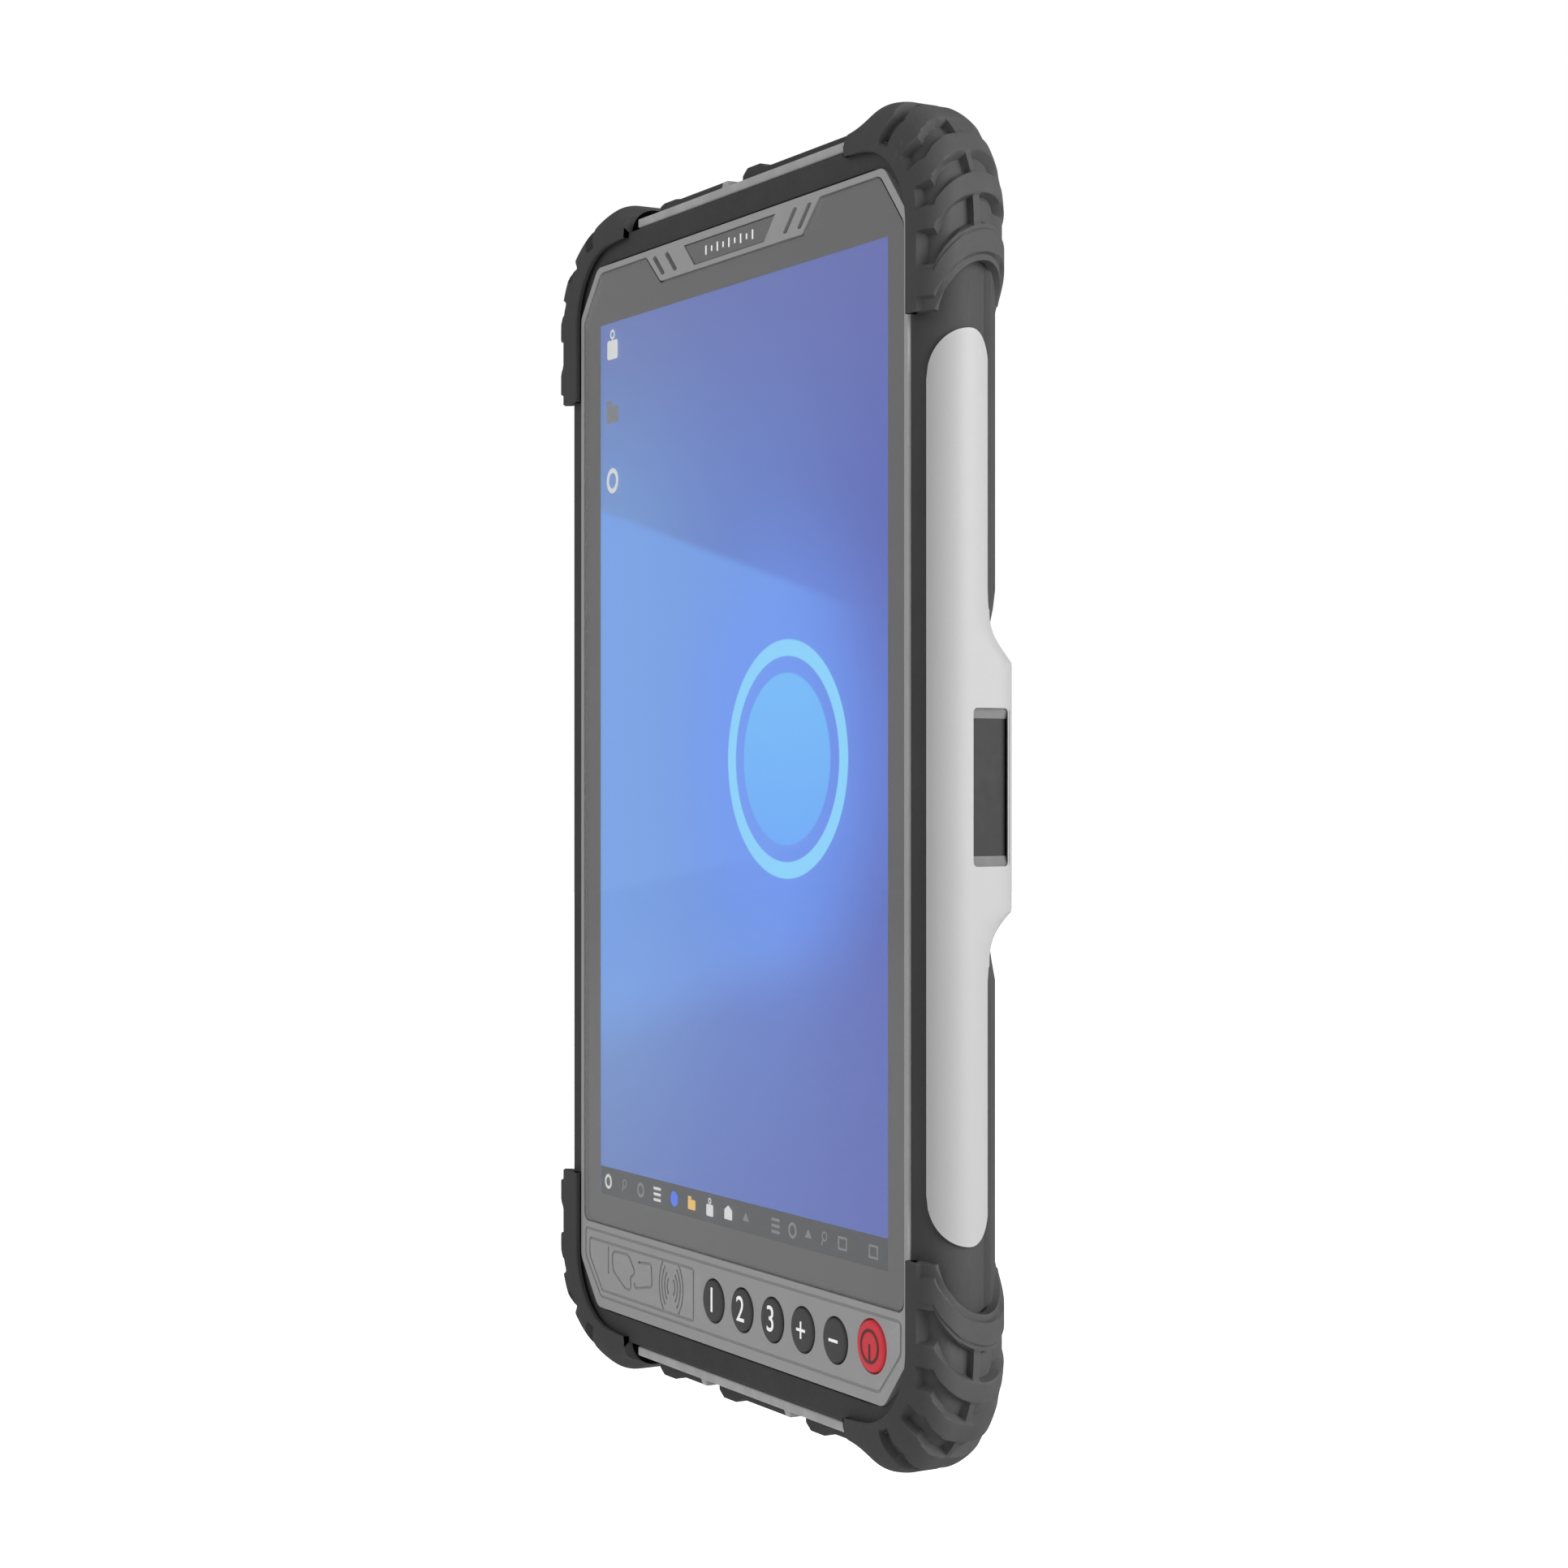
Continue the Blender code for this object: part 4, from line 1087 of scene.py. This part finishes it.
# inset, y and their normal across the bumper, front lip to back lip
def bumperSection(t, nx, nz, right):
    roll = frontRoll(right, nx, nz)
    backRoll = (7.0 if right > 0 else 5.0) * nx * nx + 5.0 * nz * nz
    lip = 8.9 + 0.4 * nx * nz
    y0, y1 = bumper["front"], bumper["back"]
    stretches = [("line", (lip, y0 + 0.9), (lip, y0 + 0.35), (1, 0)),
                 ("arc", (lip - 0.35, y0 + 0.35), 0.35, 0),
                 ("line", (lip - 0.35, y0), (roll, y0), (0, -1)),
                 ("arc", (roll, y0 + roll), roll, 90),
                 ("line", (0, y0 + roll), (0, y1 - backRoll), (-1, 0)),
                 ("arc", (backRoll, y1 - backRoll), backRoll, 180),
                 ("line", (backRoll, y1), (11.0, y1), (0, 1))]
    lengths = []
    for stretch in stretches:
        if stretch[0] == "line":
            lengths.append((Vector(stretch[2]) - Vector(stretch[1])).length)
        else:
            lengths.append(stretch[2] * math.pi / 2)
    distance = t * sum(lengths)
    for stretch, length in zip(stretches, lengths):
        if distance <= length or stretch is stretches[-1]:
            break
        distance -= length
    share = min(1.0, distance / length)
    if stretch[0] == "line":
        (a0, b0), (a1, b1), normal = stretch[1:]
        return a0 + (a1 - a0) * share, b0 + (b1 - b0) * share, *normal
    _, (ca, cb), radius, start = stretch
    angle = math.radians(start + 90 * share)
    na, nb = math.cos(angle), -math.sin(angle)
    return ca + radius * na, cb + radius * nb, na, nb


# height of the ribs, pockets and collar steps
def bumperRelief(s, y, inset, arch, roll):
    along = s - arch * (bumper["collarArch"] - 4.3 * min(1.0, s / 45.0))
    onRoll = smoothStep(inset, roll + 0.5, roll - 0.4) if y < 0 else 1.0
    lip, dip, rise = bumper["collar"]
    height = 0.3 * (smoothStep(along, *rise) - smoothStep(along, *dip))
    height = onRoll * (height - 0.75 * (1 - smoothStep(along, *lip)))
    across = onRoll * (1 - smoothStep(y, 5.8, 6.8))
    for centre, half in bumper["pockets"]:
        away = abs(along - centre)
        pocket = 1 - smoothStep(away, half - 0.25, half + 0.25)
        nub = 1 - smoothStep(abs(y + 0.8), bumper["nubHalf"], bumper["nubHalf"] + 0.3)
        height -= bumper["pocketDepth"] * pocket * across * (1 - 0.85 * nub)
    fade = smoothStep(bumperLength() - s, -2.0, 9.0)
    drop = bumper["endDrop"] * (1 - 0.75 * smoothStep(inset, 1.0, 5.0))
    return height * max(0.15, fade) - drop * (1 - fade)


def bumperPoint(right, up, sunk):
    def where(u, v):
        reach = math.cos(math.pi * (v - 0.56) / 0.62)
        arch = max(0.0, reach) ** 0.8 if reach > 0 else 0.0
        begin = bumper["collarArch"] * arch
        s = begin + u * (bumperLength() - begin)
        x, z, nx, nz = bumperPath(s)
        inset, y, na, nb = bumperSection(v, nx, nz, right)
        lift = -bumper["wall"] if sunk else bumperRelief(s, y, inset, arch, frontRoll(right, nx, nz))
        inset += na * lift
        y += nb * lift
        return at(right * (x - nx * inset), y, up * (z - nz * inset))
    return where


def makeBumpers():
    for node, right, up in (("bumper_top_right", 1, 1), ("bumper_top_left", -1, 1),
                            ("bumper_bottom_left", -1, -1), ("bumper_bottom_right", 1, -1)):
        bm = bmesh.new()
        shellBetween(bm, 150, 100, bumperPoint(right, up, False), bumperPoint(right, up, True))
        makePiece(node + "_ribbed", bm, "bumperRubber", nodes=[node], sharp=28)


makeBumpers()
print("bumpers ready")


# End trims and hinged port covers
def makeTrims():
    for name, side, gaps in (("top_trim", 1, (-8.3,)), ("bottom_trim", -1, (-16.4, 14.8))):
        rail = [(-40.6, -4.0), (-39.6, -6.6), (39.6, -6.6), (38.6, -3.7), (-39.0, -3.7), (-40.6, 1.0)]
        low, high = sorted((side * 108.9, side * 110.7))
        bm = bmesh.new()
        slab(bm, rail, low, high, edge=0.25, along="Z")
        for left in gaps:      # risers between the port covers
            riser = [(left, side * 110.0), (left + 1.5, side * 112.0), (left + 2.9, side * 112.0),
                     (left + 2.9, side * 110.0)]
            slab(bm, riser, -5.8, 4.6, edge=0.25)
        makePiece(name + "Rail", bm, "trimGrey", nodes=[name])


coverPlan = {"base": 109.7, "top": 113.0, "tab": 114.0, "lowTab": 113.3, "depth": (-3.2, 5.2),
             "plug": (108.1, 109.9)}


def makeCovers():
    for name, left, right, side in covers:
        tab = coverPlan["lowTab" if name == "top_cover_left" else "tab"]
        base, top = coverPlan["base"], coverPlan["top"]
        profile = [(right, base, 0.4), (right, top, 0.9), (left + 8.6, top, 2.0),
                   (left + 6.6, tab, 0.8), (left + 1.8, tab, 0.8), (left, top - 0.2, 0.6),
                   (left, base, 0.4)]
        outline = [(x, side * z) for x, z in rounded(profile, 5)]
        bm = bmesh.new()
        slab(bm, outline, *coverPlan["depth"], edge=0.5, segments=3)
        low, high = sorted(side * level for level in coverPlan["plug"])
        slab(bm, box2d(left + 5.0, right - 6.5, 0.0, 4.0, 1.2), low, high, edge=0.2, along="Z")
        makePiece(name + "Flap", bm, "coverRubber", body=name, nodes=[name])


makeTrims()
makeCovers()
print("covers ready")


# Back: battery door, camera, flash and screws
# pan head with a six-lobed socket, on its shank
def screwHead(bm, x, z, radius, top, tail):
    socket = [(x + radius * (0.42 + 0.07 * math.cos(6 * a)) * math.cos(a),
               z + radius * (0.42 + 0.07 * math.cos(6 * a)) * math.sin(a))
              for a in (2 * math.pi * i / 36 for i in range(36))]
    slab(bm, circle(x, z, radius, 36), top - 0.9, top, [socket], edge=0.2, ends="high")
    slab(bm, circle(x, z, radius * 0.62, 24), tail, top - 0.55, edge=0)


def makeBack():
    left, right, low, high = doorPlan["outline"]
    holes = [circle(x, z, 2.65, 28) for x, z in doorPlan["screws"]]
    door = plate("batteryDoor", "housingDark", box2d(left, right, low, high, 3.0),
                 doorPlan["front"], doorPlan["back"], holes, edge=0.35, segments=3, ends="high",
                 nodes=["battery_cover"], slotName="housing")
    bars = [([(-44.0, z), (2.0, z)], False) for z in range(-48, 40, 8)]
    carve(door, grooveCutter(bars, 0.45, doorPlan["back"]))
    for name, node, places, radius, top, tail in (
            ("doorScrew", "battery_cover_screw_", doorPlan["screws"], 2.3, 6.5, 3.2),
            ("shellScrew", "housing_screw_", rearParts["housingScrews"], 2.1, 6.1, -3.2)):
        for index, (x, z) in enumerate(places, 1):
            bm = bmesh.new()
            screwHead(bm, x, z, radius, top, tail)
            makePiece(name + str(index), bm, "screwSteel", nodes=[node + str(index)])
    x, z = rearParts["camera"]
    bm = bmesh.new()
    spun(bm, x, z, [(2.6, 5.7), (2.6, 6.3), (3.2, 6.75), (4.4, 6.75), (4.75, 6.4), (4.75, 4.6),
                    (2.9, 4.6), (2.6, 5.7)])
    makePiece("cameraRing", bm, "chassisMetal")
    bm = bmesh.new()
    spun(bm, x, z, [(0.0, 5.75), (1.6, 5.7), (2.5, 5.5), (2.5, 4.9), (0.0, 4.9)])
    makePiece("cameraLens", bm, "smokedWindow", nodes=["camera_window"])
    x, z = rearParts["flash"]
    bm = bmesh.new()
    spun(bm, x, z, [(0.0, 6.3), (0.9, 6.2), (1.75, 5.9), (1.8, 3.0), (0.0, 3.0)], 32)
    makePiece("flashLens", bm, "flashLens", nodes=["camera_flash"])


makeBack()
print("back ready")


# Everything still shown from the solid model gets its own finish
inside = {
    "silicone": ("glass_gasket", "keypad_mat"),
    "circuitBoard": ("keypad_board", "main_board", "top_io_board", "bottom_io_board"),
    "copperFoil": ("nfc_antenna",),
    "chassisMetal": ("mid_chassis", "shield_can"),
    "screwSteel": ("usb_c_port", "audio_jack", "micro_hdmi_port", "micro_usb_port",
                   "memory_card_slot", "docking_connector", "sim_tray"),
    "moduleBlack": ("battery_pack", "scan_engine", "rear_camera", "loudspeaker"),
}
for finishName, nodes in inside.items():
    for node in nodes:
        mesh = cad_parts[node].data
        mesh.materials.clear()
        mesh.materials.append(finishes[finishName])
print("inside ready")
